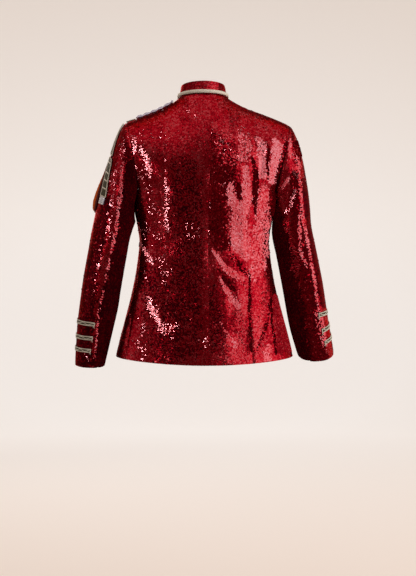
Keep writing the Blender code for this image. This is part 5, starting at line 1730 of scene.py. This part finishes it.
def make_tip(looks):
    """Clear stones in rows over a silver plate."""

    def place(u, v, lift):
        reach = math.degrees(TIP_HALF_WIDTH / SLEEVE_RADIUS)
        return sleeve_point("left", TIP_DEGREES + reach * u, sleeve_row("left", mix(*TIP_ALONG, v)), lift)

    parts = []
    for u in between(-0.75, 0.75, 3):
        for v in between(0.125, 0.875, 3):
            (centre, beside), (out, _) = on_surface(place, [(u, v), (u + 0.1, v)], 0.0022)
            parts.append(stone_parts(centre, out, unit(beside - centre)))
    stones = add_mesh("tip_stones", *join_parts(parts), [looks["crystal"]], smooth=False)
    dress(stones, "crystal", "strap_tip")
    plate = (place, (-1.0, 1.0), (0.0, 1.0), 0.0010, 0.0003, 0.0012, looks["silver"], (6, 6))
    dress(pad("tip_plate", *plate), "silver_ribbon")


def tab_face(share, along, lift):
    t = (along - TAB_ALONG[0]) / (TAB_ALONG[1] - TAB_ALONG[0])
    past = max(0.0, t - TAB_FULLEST) / (1 - TAB_FULLEST)
    swell = math.sqrt(max(0.0, 1 - past * past)) if past else ease(t / TAB_FULLEST)
    ridge = mix(*TAB_DEGREES, TAB_RIDGE)
    low, high = (mix(ridge, edge, mix(TAB_NARROW, 1.0, swell)) for edge in TAB_DEGREES)
    arch = math.sin(math.pi * share) ** TAB_ARCH if 0 < share < 1 else 0.0
    rise = 3 * TRIM_LIFT + TAB_LIFT * swell * arch
    return sleeve_point("left", mix(low, high, share), sleeve_row("left", along), rise + lift)


def make_tab(looks):
    """The quilted tab with its copper band, and the piping round its edge."""
    columns, rows = TAB_GRID
    us, vs = between(0.0, 1.0, columns), between(*TAB_ALONG, rows)

    def wall_at(i, u, j, v):
        quilt = abs(math.sin(math.pi * (i + j) / 7)) * abs(math.sin(math.pi * (i - j) / 7))
        edge = min(1.0, min(i, columns - i, j, rows - j) / 3)
        return tab_face(u, v, 0.0012 + TAB_QUILT * quilt**0.5 * edge), tab_face(u, v, 0.0)

    points, faces = slab_parts(us, vs, wall_at)
    low, high = (share * columns for share in TAB_COPPER)
    outside = len(points) // 2
    copper = [max(face) < outside and low <= min(face) // len(vs) < high for face in faces]
    pad_mesh = add_mesh("tab_pad", points, faces, [looks["tab"], looks["copper"]], copper)
    dress(pad_mesh, "copper_cloth", "sleeve_tab")
    places = [(0.0, v) for v in vs] + [(u, vs[-1]) for u in us[1:-1]] + [(1.0, v) for v in reversed(vs)]
    path = [tab_face(u, v, 0.0008) for u, v in places]
    middle = len(places) // 2
    out = sleeve_point("left", 0.0, sleeve_row("left", places[middle][1]), 0.05) - path[middle]
    path, _ = resample(path, 0.002)
    piping = tube_parts(path, [out] * len(path), PIPING_RADIUS, PIPING_RADIUS, 8)
    dress(add_mesh("tab_piping", *piping, [looks["tab"]]), "copper_cloth")


def button_seat(height):
    """The place on the lapped front at a height, and the way that a button faces there."""
    low, high = 0.0, 2.0
    for _ in range(30):
        middle = (low + high) / 2
        if torso_point("left", 1.0, middle, LAP_LIFT).z < height:
            low = middle
        else:
            high = middle
    seat = torso_point("left", 1.0, low, LAP_LIFT)
    out = (torso_point("left", 1.0, low, BUTTON_PROBE) - torso_point("left", 1.0, low)).normalized()
    return seat + out * BUTTON_LIFT, out


def circle(radius, rise, steps):
    return [(radius * math.cos(a), radius * math.sin(a), rise) for a in between(0, math.tau, steps)[:-1]]


def make_buttons(looks):
    """Domed buttons with a beaded rim."""
    sides, rings = BUTTON_SIDES, BUTTON_PROFILE[1:-1]
    places = [(0, 0, 0)] + [spot for radius, rise in rings for spot in circle(radius, rise, sides)]
    places.append((0, 0, BUTTON_PROFILE[-1][1]))
    faces = [(0, 1 + (n + 1) % sides, 1 + n) for n in range(sides)]
    for a in range(1, 1 + (len(rings) - 1) * sides, sides):
        faces += ring_faces(a, a + sides, sides)
    top = 1 + (len(rings) - 1) * sides
    faces += [(top + n, top + (n + 1) % sides, len(places) - 1) for n in range(sides)]
    for k, height in enumerate(between(BUTTON_TOP, BUTTON_BOTTOM, BUTTON_COUNT - 1)):
        seat, out = button_seat(height)
        turn = out.to_track_quat("Z", "Y")
        points = [seat + turn @ Vector(spot) for spot in places]
        rim = [seat + turn @ Vector(spot) for spot in circle(*BUTTON_RIM, 48)]
        beads = rope_parts(rim, [out] * len(rim), RIM_CORD, closed=True, step=0.0006, sides=5)
        parts = join_parts([(points, faces), beads])
        obj = add_mesh(f"brass_button_{k + 1}", *parts, [looks["brass"]])
        dress(obj, "button_metal", f"button_{k + 1}")


# The light and the backdrop
SENSOR = 24.0
FLOOR = -1.45
FLOOR_RADIUS, COVE_RADIUS, WALL_TOP = 4.5, 1.5, 5.0
FLOOR_SIDES = 64
# Middle and size of the backdrop's painted glow, a pool of light that it emits
GLOW_PLACE = (-0.5, -5.6, -0.9)
GLOW_SCALE = (0.130, 0.155, 0.190)
LIGHTS = (
    # name, place, aim, width, height, power, colour
    ("key", (-2.15, 1.46, 0.20), (0.00, 0.00, -0.40), 2.9, 3.1, 46.0, (1.0, 0.96, 0.97)),
    ("top", (0.00, 0.50, 2.00), (0.00, 0.49, -0.40), 3.6, 3.2, 30.0, (1.0, 0.86, 0.83)),
    ("side", (-3.00, -1.20, -0.30), (0.00, 0.00, -0.40), 2.6, 3.0, 15.0, (1.0, 0.96, 0.96)),
    ("fill", (3.10, 0.50, 0.40), (0.00, 0.00, -0.40), 2.0, 2.4, 8.0, (1.0, 0.97, 0.95)),
    ("spark", (1.70, 2.35, 0.00), (0.00, 0.00, -0.40), 0.1, 0.1, 2.6, (1.0, 0.93, 0.94)),
    ("front", (0.60, -2.80, 0.60), (0.00, 0.00, -0.40), 1.6, 1.4, 12.0, (1.0, 0.98, 0.96)),
)


def aim_along(obj, way):
    obj.rotation_mode = "QUATERNION"
    obj.rotation_quaternion = Vector(way).to_track_quat("-Z", "Y")


def make_camera():
    camera = add_object("camera", bpy.data.cameras.new("camera"))
    camera.data.sensor_width = SENSOR
    camera.data.lens = SENSOR / 2 * VIEW_DISTANCE / VIEW_HALF_HEIGHT
    place, back, _ = view_axes()
    camera.location = place
    aim_along(camera, -back)
    bpy.context.scene.camera = camera


def make_lights():
    for name, place, aim, width, height, power, colour in LIGHTS:
        data = bpy.data.lights.new(name, "AREA")
        data.shape = "RECTANGLE"
        data.size, data.size_y = width, height
        data.energy = power
        data.color = colour
        light = add_object(name, data)
        light.location = place
        aim_along(light, Vector(aim) - Vector(place))
        light.visible_camera = False
    world = bpy.data.worlds.new("room")
    world.use_nodes = True
    background = world.node_tree.nodes["Background"].inputs
    background["Color"].default_value = (1.0, 0.80, 0.77, 1)
    background["Strength"].default_value = 0.20
    bpy.context.scene.world = world
    bpy.context.scene.view_settings.view_transform = "Standard"


def make_backdrop(looks):
    """A round floor that rises all round into a low wall, with no visible line between them."""
    profile = [(3.0, 0.0), (FLOOR_RADIUS, 0.0)]
    for a in between(0, math.pi / 2, 12)[1:]:
        profile.append((FLOOR_RADIUS + COVE_RADIUS * math.sin(a), COVE_RADIUS - COVE_RADIUS * math.cos(a)))
    profile += [(FLOOR_RADIUS + COVE_RADIUS, 3.0), (FLOOR_RADIUS + COVE_RADIUS, WALL_TOP)]
    sides = FLOOR_SIDES
    points = [spot for radius, rise in profile for spot in circle(radius, FLOOR + rise, sides)]
    points.append((0.0, 0.0, FLOOR))
    faces = [(len(points) - 1, n, (n + 1) % sides) for n in range(sides)]
    for a in range(0, (len(profile) - 1) * sides, sides):
        b = a + sides
        faces += [(a + n, b + n, b + (n + 1) % sides, a + (n + 1) % sides) for n in range(sides)]
    add_mesh("floor", points, faces, [looks["backdrop"]])


def main():
    looks = {
        "sequins": sequin_material(),
        "ground": ground_material(),
        "lining": lining_material(),
        "gold": thread_material("gold_thread", (0.66, 0.59, 0.43), (0.97, 0.92, 0.78), 0.42, 0.12),
        "dark": thread_material("dark_thread", (0.020, 0.018, 0.005), (0.085, 0.072, 0.022), 0.55, 0.2),
        "silver": ribbon_material(),
        "crystal": Surface("clear_stone", (0.97, 0.98, 0.98), 0.28, 0.9, Coat_Weight=1.0).material,
        "tab": satin_material("tab_satin", (0.090, 0.010, 0.010), (0.170, 0.030, 0.028), 0.6),
        "copper": satin_material("copper_satin", (0.50, 0.075, 0.006), (0.70, 0.130, 0.012), 0.85),
        "brass": brass_material(),
        "backdrop": backdrop_material(),
    }
    make_camera()
    make_cloth(looks)
    make_neck_cord(looks)
    make_cuff_bars(looks)
    make_shoulder_strip(looks)
    make_straps(looks)
    make_tip(looks)
    make_tab(looks)
    make_buttons(looks)
    make_lights()
    make_backdrop(looks)


main()
